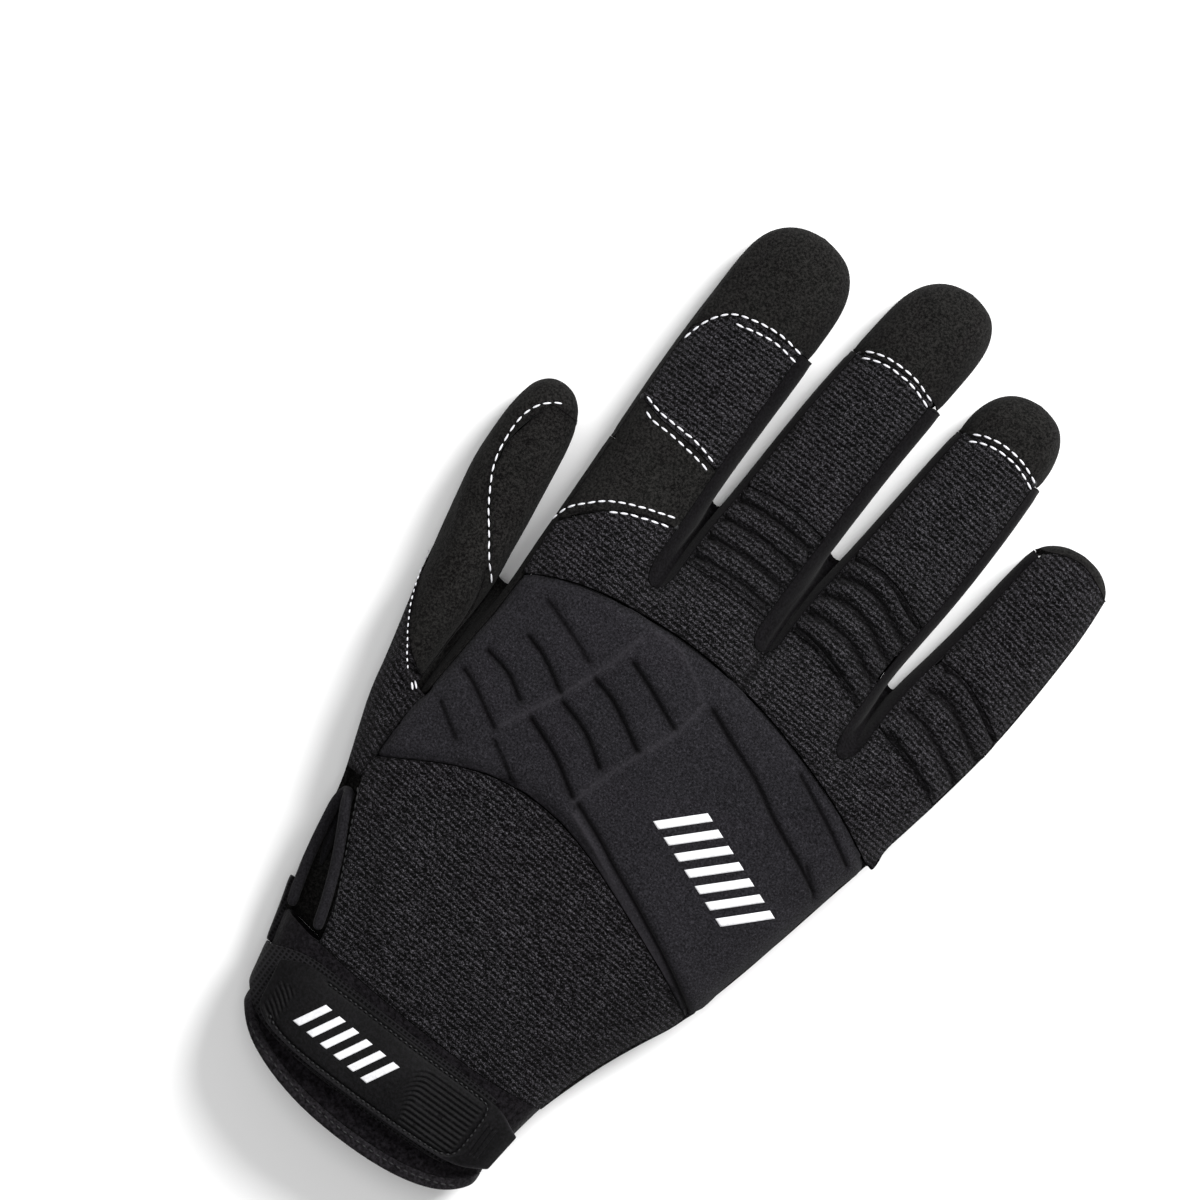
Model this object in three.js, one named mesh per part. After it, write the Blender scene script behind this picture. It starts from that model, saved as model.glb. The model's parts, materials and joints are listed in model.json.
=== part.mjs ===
import * as THREE from "three";
import { mergeVertices } from "three/addons/utils/BufferGeometryUtils.js";

// Right-hand mechanic glove lying on its palm. X runs across the hand towards the little finger,
// Y towards the fingertips and Z up from the surface on which the palm rests. Millimetres.

// Driving sizes
const GLOVE_LENGTH = 253.3; // cuff's end to the middle fingertip
const PALM_WIDTH = 107; // across the knuckles
const HAND_HEIGHT = 31; // surface to the back of the knuckles

// Thickness of the materials
const SUEDE = 1.5;
const KNIT = 1.5;
const SIDE_CLOTH = 1.3;
const NEOPRENE = 2.6;
const CUFF_WEB = 1.8;
const STRAP_WEB = 1.5;
const TAB_RUBBER = 2.2;
const PAD_FOAM = 1.5;

// Clearances
const SEAM_GAP = 0.34; // between pieces sewn edge to edge
const LAYER_GAP = 0.32; // between pieces laid on one another
const PALM_LIFT = PAD_FOAM + LAYER_GAP; // the palm lies on its pads

// Tables. Each value across is a share of PALM_WIDTH, measured from the middle finger's line, each value
// along is a share of GLOVE_LENGTH, measured from the cuff's end, and each height a share of HAND_HEIGHT.
function table(names, rows) {
  return rows.map((row) => Object.fromEntries(names.map((name, k) => [name, row[k]])));
}
// The hand: left and right edges, height of the back, and where the walls are widest on each side.
const HAND = table(["y", "left", "wide", "right", "top", "shoulder", "leftShoulder"], [
  [0, -0.3421, -0.3421, 0.2916, 0.7903, 0.4194, 0.4032],
  [0.0722, -0.3607, -0.3607, 0.3047, 0.8226, 0.4194, 0.4032],
  [0.1315, -0.3925, -0.3925, 0.3271, 0.8387, 0.4355, 0.4032],
  [0.1907, -0.4318, -0.4318, 0.3692, 0.871, 0.4516, 0.4032],
  [0.2381, -0.4533, -0.4533, 0.4206, 0.9032, 0.4677, 0.4032],
  [0.2696, -0.4617, -0.4654, 0.4598, 0.9194, 0.4839, 0.4032],
  [0.3012, -0.4579, -0.4897, 0.4822, 0.9355, 0.5, 0.3871],
  [0.3328, -0.4523, -0.5159, 0.5009, 0.9516, 0.5161, 0.3871],
  [0.3644, -0.4486, -0.5393, 0.5215, 0.9677, 0.5323, 0.3871],
  [0.396, -0.4449, -0.5542, 0.5383, 0.9871, 0.5484, 0.371],
  [0.4512, -0.4355, -0.586, 0.5645, 1, 0.5581, 0.3548],
  [0.5065, -0.4262, -0.6168, 0.5963, 1, 0.5645, 0.3548],
  [0.5657, -0.4299, -0.6467, 0.6299, 0.9613, 0.5806, 0.3387],
  [0.625, -0.4327, -0.6607, 0.6579, 0.871, 0.5161, 0.3226],
  [0.6842, -0.4374, -0.6607, 0.6785, 0.7419, 0.4194, 0.3226],
]);

// The thumb, from its root beside the hand to where its tip starts to round.
const THUMB = [
  { y: 0.3328, left: -0.5159, right: -0.457, top: 0.7419, shoulder: 0.3871 },
  { y: 0.3644, left: -0.5393, right: -0.457, top: 0.7258, shoulder: 0.3871 },
  { y: 0.396, left: -0.5542, right: -0.457, top: 0.7097, shoulder: 0.371 },
  { y: 0.4512, left: -0.586, right: -0.4542, top: 0.6935, shoulder: 0.3548 },
  { y: 0.5065, left: -0.6168, right: -0.4486, top: 0.6774, shoulder: 0.3548 },
  { y: 0.5539, left: -0.6411, right: -0.4607, top: 0.6613, shoulder: 0.3387 },
  { y: 0.6052, left: -0.6598, right: -0.4757, top: 0.6452, shoulder: 0.3226 },
  { y: 0.6368, left: -0.6598, right: -0.486, top: 0.6129, shoulder: 0.3226 },
];
const THUMB_TIP = 0.7031;

// The seam on the back of the thumb, as the angle round its section from the side next to the hand.
const THUMB_SEAM = [
  { y: 0.3881, angle: 14 },
  { y: 0.4828, angle: 15 },
  { y: 0.4986, angle: 20 },
  { y: 0.5144, angle: 41 },
  { y: 0.5361, angle: 69 },
  { y: 0.5618, angle: 95 },
  { y: 0.5855, angle: 114 },
  { y: 0.6131, angle: 122 },
  { y: 0.6368, angle: 122 },
  { y: 0.6565, angle: 112 },
  { y: 0.6802, angle: 88 },
];

// The stitched edge between the thumb and its knit gusset, by the angle round the thumb's section.
const THUMB_ROOT = [
  { angle: 0, y: 0.3995 },
  { angle: 35, y: 0.4007 },
  { angle: 70, y: 0.4062 },
  { angle: 116, y: 0.4236 },
  { angle: 154, y: 0.4552 },
  { angle: 172, y: 0.4868 },
  { angle: 186, y: 0.5065 },
  { angle: 210, y: 0.5156 },
  { angle: 310, y: 0.5156 },
];

// The fingers: edges, height of the back and widest height by the distance along, where the tip starts
// to round and where it ends, the seams of the back as shares of the half width, and the cap's edge.
const INDEX = {
  rows: [
    { y: 0.5263, left: -0.4271, right: -0.1579, top: 0.9677, shoulder: 0.6452 },
    { y: 0.5973, left: -0.4318, right: -0.157, top: 0.8871, shoulder: 0.6129 },
    { y: 0.6644, left: -0.4355, right: -0.1579, top: 0.7419, shoulder: 0.4355 },
    { y: 0.7236, left: -0.4411, right: -0.1617, top: 0.6645, shoulder: 0.3548 },
    { y: 0.8026, left: -0.4449, right: -0.1607, top: 0.6323, shoulder: 0.3226 },
    { y: 0.8816, left: -0.4402, right: -0.1626, top: 0.6129, shoulder: 0.3065 },
  ],
  round: 0.9013, tip: 0.9605, seamLeft: 0.93, seamRight: 0.76, capTop: 0.8563, capDrop: 0.0474, capSide: -1,
};
const MIDDLE = {
  rows: [
    { y: 0.5263, left: -0.1486, right: 0.1224, top: 1, shoulder: 0.6613 },
    { y: 0.5973, left: -0.1486, right: 0.1215, top: 0.9129, shoulder: 0.629 },
    { y: 0.6644, left: -0.1495, right: 0.1215, top: 0.7613, shoulder: 0.4516 },
    { y: 0.7236, left: -0.1393, right: 0.1234, top: 0.6774, shoulder: 0.3548 },
    { y: 0.7829, left: -0.1336, right: 0.1271, top: 0.6452, shoulder: 0.3226 },
    { y: 0.8421, left: -0.1243, right: 0.1327, top: 0.6387, shoulder: 0.3226 },
    { y: 0.9013, left: -0.1084, right: 0.1411, top: 0.6258, shoulder: 0.3161 },
    { y: 0.9408, left: -0.0972, right: 0.1495, top: 0.6065, shoulder: 0.3065 },
  ],
  round: 0.9447, tip: 1, seamLeft: 0.88, seamRight: 0.74, capTop: 0.8974, capDrop: 0.0095, capSide: 0,
};
const RING = {
  rows: [
    { y: 0.5263, left: 0.1327, right: 0.3972, top: 0.9677, shoulder: 0.6452 },
    { y: 0.5973, left: 0.1308, right: 0.3981, top: 0.8839, shoulder: 0.5968 },
    { y: 0.6644, left: 0.1299, right: 0.3991, top: 0.7355, shoulder: 0.4194 },
    { y: 0.7236, left: 0.1458, right: 0.4131, top: 0.6581, shoulder: 0.3419 },
    { y: 0.7829, left: 0.1607, right: 0.4224, top: 0.6258, shoulder: 0.3226 },
    { y: 0.8421, left: 0.1748, right: 0.4243, top: 0.6129, shoulder: 0.3161 },
    { y: 0.8934, left: 0.1897, right: 0.4206, top: 0.6, shoulder: 0.3065 },
  ],
  round: 0.9013, tip: 0.9526, seamLeft: 0.88, seamRight: 0.82, capTop: 0.8934, capDrop: 0.0087, capSide: 0,
};
const LITTLE = {
  rows: [
    { y: 0.5263, left: 0.4084, right: 0.6093, top: 0.9032, shoulder: 0.5806 },
    { y: 0.5855, left: 0.4084, right: 0.6402, top: 0.8129, shoulder: 0.5645 },
    { y: 0.6486, left: 0.4103, right: 0.6692, top: 0.6774, shoulder: 0.4194 },
    { y: 0.7039, left: 0.4346, right: 0.6813, top: 0.6, shoulder: 0.3226 },
    { y: 0.7631, left: 0.4561, right: 0.6888, top: 0.5742, shoulder: 0.2968 },
    { y: 0.8105, left: 0.4673, right: 0.6916, top: 0.5613, shoulder: 0.2903 },
  ],
  round: 0.8125, tip: 0.8602, seamLeft: 0.82, seamRight: 0.99, capTop: 0.8523, capDrop: 0.0158, capSide: 0,
};

// The crotches: end of the strip on the back and on the palm side, and how far its turn reaches.
const INDEX_MIDDLE = { back: 0.5957, palm: 0.6921, turn: 0.0217 };
const MIDDLE_RING = { back: 0.6052, palm: 0.7177, turn: 0.0178 };
const RING_LITTLE = { back: 0.5681, palm: 0.6486, turn: 0.0237 };
const THUMB_CROTCH = { back: 0.3865, palm: 0.5144, turn: 0.0118 };

// Seams across the back of the hand, from the thumb's side to the little finger's side.
const PAD_UPPER = [
  { x: -0.4673, y: 0.5164 }, { x: -0.4252, y: 0.5302 }, { x: -0.3738, y: 0.544 }, { x: -0.3271, y: 0.5523 },
  { x: -0.2617, y: 0.5614 }, { x: -0.1869, y: 0.5673 }, { x: -0.0935, y: 0.5713 }, { x: 0, y: 0.5724 },
  { x: 0.0935, y: 0.5697 }, { x: 0.1869, y: 0.5638 }, { x: 0.2804, y: 0.5539 }, { x: 0.3738, y: 0.542 },
  { x: 0.4673, y: 0.5278 }, { x: 0.5327, y: 0.5144 }, { x: 0.5981, y: 0.5002 },
];
const PAD_LOWER = [
  { x: -0.4673, y: 0.3091 }, { x: -0.4299, y: 0.315 }, { x: -0.3738, y: 0.3289 }, { x: -0.3084, y: 0.3447 },
  { x: -0.2523, y: 0.3561 }, { x: -0.1869, y: 0.3644 }, { x: -0.1121, y: 0.3683 }, { x: -0.0467, y: 0.3675 },
  { x: 0.0187, y: 0.3624 }, { x: 0.0935, y: 0.3525 }, { x: 0.1869, y: 0.3368 }, { x: 0.2804, y: 0.321 },
  { x: 0.3551, y: 0.3075 }, { x: 0.4206, y: 0.2941 }, { x: 0.486, y: 0.2807 },
];
const CUFF_SEAM = [
  { x: -0.4112, y: 0.1473 }, { x: -0.3178, y: 0.1409 }, { x: -0.1869, y: 0.1338 }, { x: 0, y: 0.1291 },
  { x: 0.1869, y: 0.1275 }, { x: 0.3364, y: 0.133 },
];
const CUFF_END = [
  { x: -0.3832, y: 0.0683 }, { x: -0.3598, y: 0.0541 }, { x: -0.3178, y: 0.0343 }, { x: -0.2617, y: 0.0209 },
  { x: -0.1869, y: 0.0103 }, { x: -0.0935, y: 0.0028 }, { x: 0.028, y: 0 }, { x: 0.1308, y: 0.0028 },
  { x: 0.215, y: 0.0107 }, { x: 0.271, y: 0.0229 }, { x: 0.3084, y: 0.0422 },
];

// Edges of the pieces on the backs of the fingers.
const INDEX_BAND_LOWER = [
  { x: -0.4486, y: 0.5776 }, { x: -0.4206, y: 0.5949 }, { x: -0.4019, y: 0.6068 }, { x: -0.3551, y: 0.625 },
  { x: -0.2991, y: 0.64 }, { x: -0.243, y: 0.6486 }, { x: -0.1776, y: 0.655 },
];
const INDEX_BAND_UPPER = [
  { x: -0.4486, y: 0.7379 }, { x: -0.4112, y: 0.7331 }, { x: -0.3738, y: 0.7284 }, { x: -0.2804, y: 0.7252 },
  { x: -0.1776, y: 0.7181 },
];
const MIDDLE_FLEX_LOWER = [{ x: -0.1495, y: 0.6313 }, { x: -0.0093, y: 0.6368 }, { x: 0.1121, y: 0.6336 }];
const MIDDLE_FLEX_UPPER = [{ x: -0.1495, y: 0.7244 }, { x: -0.0093, y: 0.7327 }, { x: 0.1121, y: 0.7252 }];
const RING_FLEX_LOWER = [
  { x: 0.1308, y: 0.6392 }, { x: 0.2056, y: 0.6384 }, { x: 0.2897, y: 0.6289 }, { x: 0.4019, y: 0.6115 },
];
const RING_FLEX_UPPER = [
  { x: 0.1308, y: 0.7292 }, { x: 0.215, y: 0.7355 }, { x: 0.2897, y: 0.7308 }, { x: 0.4019, y: 0.7102 },
];
const LITTLE_FLEX_LOWER = [
  { x: 0.4206, y: 0.6155 }, { x: 0.5047, y: 0.6052 }, { x: 0.5888, y: 0.5918 }, { x: 0.6822, y: 0.5776 },
];
const LITTLE_FLEX_UPPER = [
  { x: 0.4206, y: 0.6976 }, { x: 0.514, y: 0.6992 }, { x: 0.5888, y: 0.6881 }, { x: 0.6916, y: 0.6644 },
];

// The wrist slit: edge of the knit beside it.
const SLIT_EDGE = [
  { y: 0.1394, x: -0.2991 }, { y: 0.1591, x: -0.3103 }, { y: 0.1828, x: -0.329 }, { y: 0.2144, x: -0.3589 },
  { y: 0.246, x: -0.3963 }, { y: 0.2696, x: -0.4262 }, { y: 0.2854, x: -0.4421 }, { y: 0.317, x: -0.4421 },
  { y: 0.3881, x: -0.4421 },
];

// Palm overlays, as outlines.
const UPPER_PAD_OUTLINE = [
  { x: -0.1869, y: 0.4947 }, { x: -0.243, y: 0.5381 }, { x: -0.243, y: 0.5934 }, { x: -0.1869, y: 0.6368 },
  { x: -0.0748, y: 0.6486 }, { x: -0.0187, y: 0.621 }, { x: 0.0374, y: 0.6171 }, { x: 0.1121, y: 0.6486 },
  { x: 0.2243, y: 0.6447 }, { x: 0.2804, y: 0.6013 }, { x: 0.3551, y: 0.5894 }, { x: 0.4673, y: 0.5894 },
  { x: 0.5047, y: 0.5539 }, { x: 0.4299, y: 0.5184 }, { x: 0.2617, y: 0.5026 }, { x: 0.0374, y: 0.4868 },
];
const LOWER_PAD_OUTLINE = [
  { x: -0.1589, y: 0.4473 }, { x: -0.1963, y: 0.4039 }, { x: -0.1682, y: 0.3407 }, { x: -0.0748, y: 0.2696 },
  { x: 0.0561, y: 0.2302 }, { x: 0.2243, y: 0.2144 }, { x: 0.2804, y: 0.2381 }, { x: 0.1869, y: 0.2775 },
  { x: 0.1121, y: 0.317 }, { x: 0.0841, y: 0.3723 }, { x: 0.0748, y: 0.4433 }, { x: -0.0374, y: 0.4552 },
];
const SIDE_PAD_OUTLINE = [
  { x: 0.1682, y: 0.4197 }, { x: 0.1308, y: 0.3802 }, { x: 0.1682, y: 0.3328 }, { x: 0.2617, y: 0.2933 },
  { x: 0.3551, y: 0.2696 }, { x: 0.4019, y: 0.2933 }, { x: 0.4206, y: 0.3407 }, { x: 0.4299, y: 0.4039 },
  { x: 0.4112, y: 0.4591 }, { x: 0.3178, y: 0.467 }, { x: 0.2243, y: 0.4512 },
];

// Shape exponents of the sections and where the bottom seams lie
const BACK_POWER = 2.5;
const PALM_POWER = 3;
const PALM_SHOULDER = 9 / 31 * HAND_HEIGHT;
const SEAM_BOTTOM = 44; // angle below the widest point at which a finger's front starts
const TIP_POWER = 2.3;
const TIP_HEIGHT = 0.44; // height of the tip's end, as a share of the finger's

const across = (share) => share * PALM_WIDTH;
const along = (share) => share * GLOVE_LENGTH;
const high = (share) => share * HAND_HEIGHT;
const lerp = (a, b, t) => a + (b - a) * t;
const clamp = (t, lo = 0, hi = 1) => Math.min(hi, Math.max(lo, t));
const smooth = (lo, hi, t) => {
  const k = clamp((t - lo) / (hi - lo));
  return k * k * (3 - 2 * k);
};
const rad = (degrees) => degrees * Math.PI / 180;
const within = (degrees) => ((degrees % 360) + 360) % 360; // the same angle, from 0 up to 360
const signedPower = (v, p) => Math.sign(v) * Math.pow(Math.abs(v), p);

// A smooth curve through one column of a table: key in, value out, level beyond its ends.
function track(rows, key, value, keyScale, valueScale) {
  const xs = rows.map((row) => keyScale(row[key]));
  const ys = rows.map((row) => valueScale(row[value]));
  const slope = xs.map((x, i) => {
    const a = Math.max(0, i - 1);
    const b = Math.min(xs.length - 1, i + 1);
    return (ys[b] - ys[a]) / (xs[b] - xs[a]);
  });
  return (x) => {
    if (x <= xs[0]) return ys[0];
    if (x >= xs[xs.length - 1]) return ys[ys.length - 1];
    let i = 0;
    while (x > xs[i + 1]) i += 1;
    const h = xs[i + 1] - xs[i];
    const t = (x - xs[i]) / h;
    const t2 = t * t;
    const t3 = t2 * t;
    return (2 * t3 - 3 * t2 + 1) * ys[i] + (t3 - 2 * t2 + t) * h * slope[i]
      + (3 * t2 - 2 * t3) * ys[i + 1] + (t3 - t2) * h * slope[i + 1];
  };
}
const byLength = (rows, value, scale) => track(rows, "y", value, along, scale);
const seamLine = (rows) => track(rows, "x", "y", across, along);

const hand = {
  left: byLength(HAND, "left", across),
  wide: byLength(HAND, "wide", across),
  right: byLength(HAND, "right", across),
  top: byLength(HAND, "top", high),
  shoulder: byLength(HAND, "shoulder", high),
  leftShoulder: byLength(HAND, "leftShoulder", high),
};

function makeFinger(table) {
  return {
    left: byLength(table.rows, "left", across),
    right: byLength(table.rows, "right", across),
    top: byLength(table.rows, "top", high),
    shoulder: byLength(table.rows, "shoulder", high),
    round: along(table.round),
    tip: along(table.tip),
    seamLeft: table.seamLeft,
    seamRight: table.seamRight,
    capTop: along(table.capTop),
    capDrop: along(table.capDrop),
    capSide: table.capSide,
  };
}
const index = makeFinger(INDEX);
const middle = makeFinger(MIDDLE);
const ring = makeFinger(RING);
const little = makeFinger(LITTLE);
const fingers = [index, middle, ring, little];
const thumb = makeFinger({
  rows: THUMB, round: THUMB[THUMB.length - 1].y, tip: THUMB_TIP,
  seamLeft: 1, seamRight: 1, capTop: THUMB_TIP, capDrop: 0, capSide: 0,
});

// How high the palm side lies: on its pads under the hand, on the surface itself under fingers and cuff.
const PAD_END = along(0.6486);
const FINGER_START = along(0.7158);
const CUFF_LIFT = 0.6; // the binding stands this much proud of the cuff and carries it
const CUFF_TOP = along(0.1354);
const PALM_START = along(0.1749);
function low(y) {
  const lift = lerp(CUFF_LIFT, PALM_LIFT, smooth(CUFF_TOP, PALM_START, y));
  return lift * (1 - smooth(PAD_END, FINGER_START, y));
}

// One finger's section at the distance y: middle, half width, heights, all shrinking round the tip.
const LEAN_OVER = 12; // length before the tip over which the finger's lean is taken
function section(finger, y) {
  const at = Math.min(y, finger.round);
  const t = clamp((y - finger.round) / (finger.tip - finger.round));
  const size = Math.pow(Math.max(1 - Math.pow(t, TIP_POWER), 0), 1 / TIP_POWER);
  const middleAt = (place) => (finger.left(place) + finger.right(place)) / 2;
  const lean = (middleAt(finger.round) - middleAt(finger.round - LEAN_OVER)) / LEAN_OVER;
  const x = middleAt(at) + lean * Math.max(0, y - finger.round);
  const top = finger.top(at);
  const end = top * TIP_HEIGHT;
  return {
    x,
    half: (finger.right(at) - finger.left(at)) / 2 * size,
    top: lerp(end, top, size),
    shoulder: lerp(end, finger.shoulder(at), size),
    under: lerp(end, PALM_SHOULDER, size),
    low: lerp(end, low(y), size),
  };
}

// A point round a finger's section: 0 is the side towards the little finger, 90 degrees the back.
function fingerPoint(finger, degrees, y) {
  const s = section(finger, y);
  const angle = rad(degrees);
  const c = Math.cos(angle);
  const n = Math.sin(angle);
  if (n >= 0) return new THREE.Vector3(s.x + s.half * c, y, s.shoulder + (s.top - s.shoulder) * n);
  const bend = 2 / PALM_POWER;
  const z = s.under - (s.under - s.low) * Math.pow(-n, bend);
  return new THREE.Vector3(s.x + s.half * signedPower(c, bend), y, z);
}

const ROOT_LOW = along(0.3407);
const ROOT_HIGH = along(0.4197);
const FINGERS_LOW = along(0.5341);
const FINGERS_HIGH = along(0.6368);

// Height of the back of the hand with the given left edge
function handBack(x, y, left, leftShoulder) {
  const right = hand.right(y);
  const mid = (hand.left(y) + right) / 2;
  const side = x < mid ? (mid - x) / (mid - left) : (x - mid) / (right - mid);
  const shoulder = x < mid ? leftShoulder : hand.shoulder(y);
  const arch = Math.pow(1 - Math.pow(clamp(side), BACK_POWER), 1 / BACK_POWER);
  return shoulder + (hand.top(y) - shoulder) * arch;
}

const FALL = 1.5; // slope of the back beyond a finger's side
function fingerBack(finger, x, y) {
  const s = section(finger, y);
  const beyond = Math.abs(x - s.x) - s.half;
  if (beyond >= 0) return s.shoulder - FALL * beyond;
  const side = (x - s.x) / s.half;
  return s.shoulder + (s.top - s.shoulder) * Math.sqrt(1 - side * side);
}

// Height of the whole back: the hand runs into the thumb's root and into the fingers.
function backHeight(x, y) {
  const wide = handBack(x, y, hand.wide(y), hand.leftShoulder(y));
  const root = smooth(ROOT_LOW, ROOT_HIGH, y);
  const beside = x < hand.left(y);
  const narrow = beside ? fingerBack(thumb, x, y) : handBack(x, y, hand.left(y), hand.shoulder(y));
  const base = lerp(wide, narrow, root);
  const reach = smooth(FINGERS_LOW, FINGERS_HIGH, y);
  if (beside || reach === 0) return base;
  return lerp(base, Math.max(...fingers.map((finger) => fingerBack(finger, x, y))), reach);
}

// Height of the palm side
const PALM_ROOT_LOW = along(0.467);
const PALM_ROOT_HIGH = along(0.5302);
const PALM_FINGERS_LOW = along(0.5697);
const PALM_FINGERS_HIGH = along(0.6881);
function bowl(side, y) {
  const arch = Math.pow(1 - Math.pow(clamp(Math.abs(side)), PALM_POWER), 1 / PALM_POWER);
  return low(y) + (PALM_SHOULDER - low(y)) * (1 - arch);
}
const BOTTOM_SEAM = 3 / 107 * PALM_WIDTH; // how far in from the hand's left edge the palm's seam lies
const palmShare = (degrees) => Math.pow(Math.cos(rad(degrees)), 2 / PALM_POWER);
const THUMB_BOTTOM = 312; // the angle round the thumb at which its palm side ends
function handPalm(x, y, left) {
  const right = hand.right(y);
  const mid = (hand.left(y) + right) / 2;
  return bowl(x < mid ? (mid - x) / (mid - left) : (x - mid) / (right - mid), y);
}
function palmHeight(x, y) {
  const wide = handPalm(x, y, hand.wide(y));
  const s = section(thumb, y);
  const rootSeam = s.x + s.half * palmShare(360 - THUMB_BOTTOM);
  const handSeam = hand.left(y) + BOTTOM_SEAM;
  const besideHand = lerp(bowl(palmShare(360 - THUMB_BOTTOM), y), handPalm(handSeam, y, hand.left(y)),
    clamp((x - rootSeam) / (handSeam - rootSeam)));
  const onHand = x < handSeam ? besideHand : handPalm(x, y, hand.left(y));
  const narrow = x < rootSeam ? bowl((x - s.x) / s.half, y) : onHand;
  const base = lerp(wide, narrow, smooth(PALM_ROOT_LOW, PALM_ROOT_HIGH, y));
  const reach = smooth(PALM_FINGERS_LOW, PALM_FINGERS_HIGH, y);
  if (x < hand.left(y) || reach === 0) return base;
  const under = fingers.map((finger, f) => {
    const t = section(finger, y);
    const side = (x - t.x) / t.half;
    const most = palmShare(SEAM_BOTTOM);
    return bowl(clamp(side, f === 0 ? -1 : -most, f === 3 ? 1 : most), y);
  });
  return lerp(base, Math.min(...under), reach);
}

const group = new THREE.Group();

// One sheet of cloth: a grid of cells on its outer face, the same cells one thickness further in, and a
// rim along every free edge. "at" gives the outer point, "out" the way out, "keep" leaves cells away.
function sheet(name, look, options) {
  const { nu, nv, at, out, wall, keep = () => true, loop = false } = options;
  const outer = [];
  const inner = [];
  for (let j = 0; j <= nv; j += 1) {
    for (let i = 0; i <= nu; i += 1) {
      const p = at(i / nu, j / nv, i, j);
      const n = out(i / nu, j / nv, i, j);
      outer.push(p);
      inner.push(p.clone().addScaledVector(n, -(wall.call ? wall(i / nu, j / nv) : wall)));
    }
  }
  const id = (i, j) => j * (nu + 1) + (loop && i === nu ? 0 : i);
  const faces = [];
  const edges = new Map();
  for (let j = 0; j < nv; j += 1) {
    for (let i = 0; i < nu; i += 1) {
      if (!keep(i, j)) continue;
      const cell = [id(i, j), id(i + 1, j), id(i + 1, j + 1), id(i, j + 1)];
      const even = outer[cell[0]].distanceTo(outer[cell[2]]) <= outer[cell[1]].distanceTo(outer[cell[3]]);
      const pair = even ? [[0, 1, 2], [0, 2, 3]] : [[0, 1, 3], [1, 2, 3]];
      for (const [a, b, c] of pair) faces.push([cell[a], cell[b], cell[c]]);
      for (let k = 0; k < 4; k += 1) {
        const a = cell[k];
        const b = cell[(k + 1) % 4];
        if (edges.has(b + "_" + a)) edges.delete(b + "_" + a);
        else edges.set(a + "_" + b, [a, b]);
      }
    }
  }
  const points = outer.concat(inner);
  const shift = outer.length;
  const triangles = [];
  for (const [a, b, c] of faces) triangles.push([a, b, c], [a + shift, c + shift, b + shift]);
  for (const [a, b] of edges.values()) triangles.push([b, a, a + shift], [b, a + shift, b + shift]);
  addSolid(name, look, points, triangles);
}

// Joins equal points, drops flat triangles, turns the faces outwards and adds the piece.
function addSolid(name, look, points, triangles) {
  const seen = new Map();
  const kept = [];
  const map = points.map((p) => {
    const key = [p.x, p.y, p.z].map((v) => Math.round(v * 2e3)).join();
    if (!seen.has(key)) {
      seen.set(key, kept.length);
      kept.push(p);
    }
    return seen.get(key);
  });
  const joined = triangles.map((t) => t.map((k) => map[k]));
  const good = joined.filter(([a, b, c]) => a !== b && b !== c && a !== c);
  let volume = 0;
  for (const [a, b, c] of good) volume += kept[a].dot(new THREE.Vector3().crossVectors(kept[b], kept[c]));
  const geometry = new THREE.BufferGeometry();
  const numbers = kept.flatMap((p) => [p.x, p.y, p.z]);
  geometry.setAttribute("position", new THREE.Float32BufferAttribute(numbers, 3));
  geometry.setIndex(good.flatMap(([a, b, c]) => (volume > 0 ? [a, b, c] : [a, c, b])));
  addMesh(name, look, geometry);
}

const LOOKS = {
  suede: { color: 0x2a2826, roughness: 0.95, metalness: 0 },
  knit: { color: 0x242427, roughness: 0.98, metalness: 0 },
  cloth: { color: 0x303033, roughness: 0.85, metalness: 0 },
  neoprene: { color: 0x2c2c2f, roughness: 0.92, metalness: 0 },
  webbing: { color: 0x1e1e20, roughness: 0.9, metalness: 0 },
  rubber: { color: 0x29292b, roughness: 0.5, metalness: 0 },
  overlay: { color: 0x262422, roughness: 0.95, metalness: 0 },
};
function addMesh(name, look, geometry) {
  geometry.computeVertexNormals();
  const mesh = new THREE.Mesh(geometry, new THREE.MeshStandardMaterial({ ...LOOKS[look], name: look }));
  mesh.name = name;
  group.add(mesh);
}

// The way out of a face, from its neighbouring points
function facing(at, step = 0.004) {
  return (u, v) => {
    const u0 = Math.max(0, u - step);
    const u1 = Math.min(1, u + step);
    const v0 = Math.max(0, v - step);
    const v1 = Math.min(1, v + step);
    const du = at(u1, v).sub(at(u0, v));
    const dv = at(u, v1).sub(at(u, v0));
    return du.cross(dv).normalize();
  };
}
// The same with a layer or relief added along the way out
function raised(at, out, height) {
  return (u, v, i, j) => at(u, v, i, j).addScaledVector(out(u, v, i, j), height(u, v, i, j));
}

// Spacing that is dense towards the steep sides
const denseRight = (u) => lerp(u, Math.sin(u * Math.PI / 2), 0.85);
const denseBoth = (u) => lerp(u, (1 - Math.cos(u * Math.PI)) / 2, 0.8);

// A sheet over the back of the hand between two seams and between its left edge and the right edge
function backSheet(name, look, wall, nu, nv, leftEdge, lower, upper, relief = () => 0, spacing = denseBoth) {
  const at = (u, v) => {
    let y = (lower(0) + upper(0)) / 2;
    let x = 0;
    for (let k = 0; k < 8; k += 1) {
      x = lerp(leftEdge(y), hand.right(y), spacing(u));
      y = lerp(lower(x) + SEAM_GAP / 2, upper(x) - SEAM_GAP / 2, v);
    }
    return new THREE.Vector3(x, y, backHeight(x, y));
  };
  const out = (u, v) => {
    const p = at(u, v);
    return u === 1 ? new THREE.Vector3(1, 0, 0) : backOut(p.x, p.y);
  };
  sheet(name, look, { nu, nv, at: raised(at, out, relief), out, wall });
}

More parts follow.
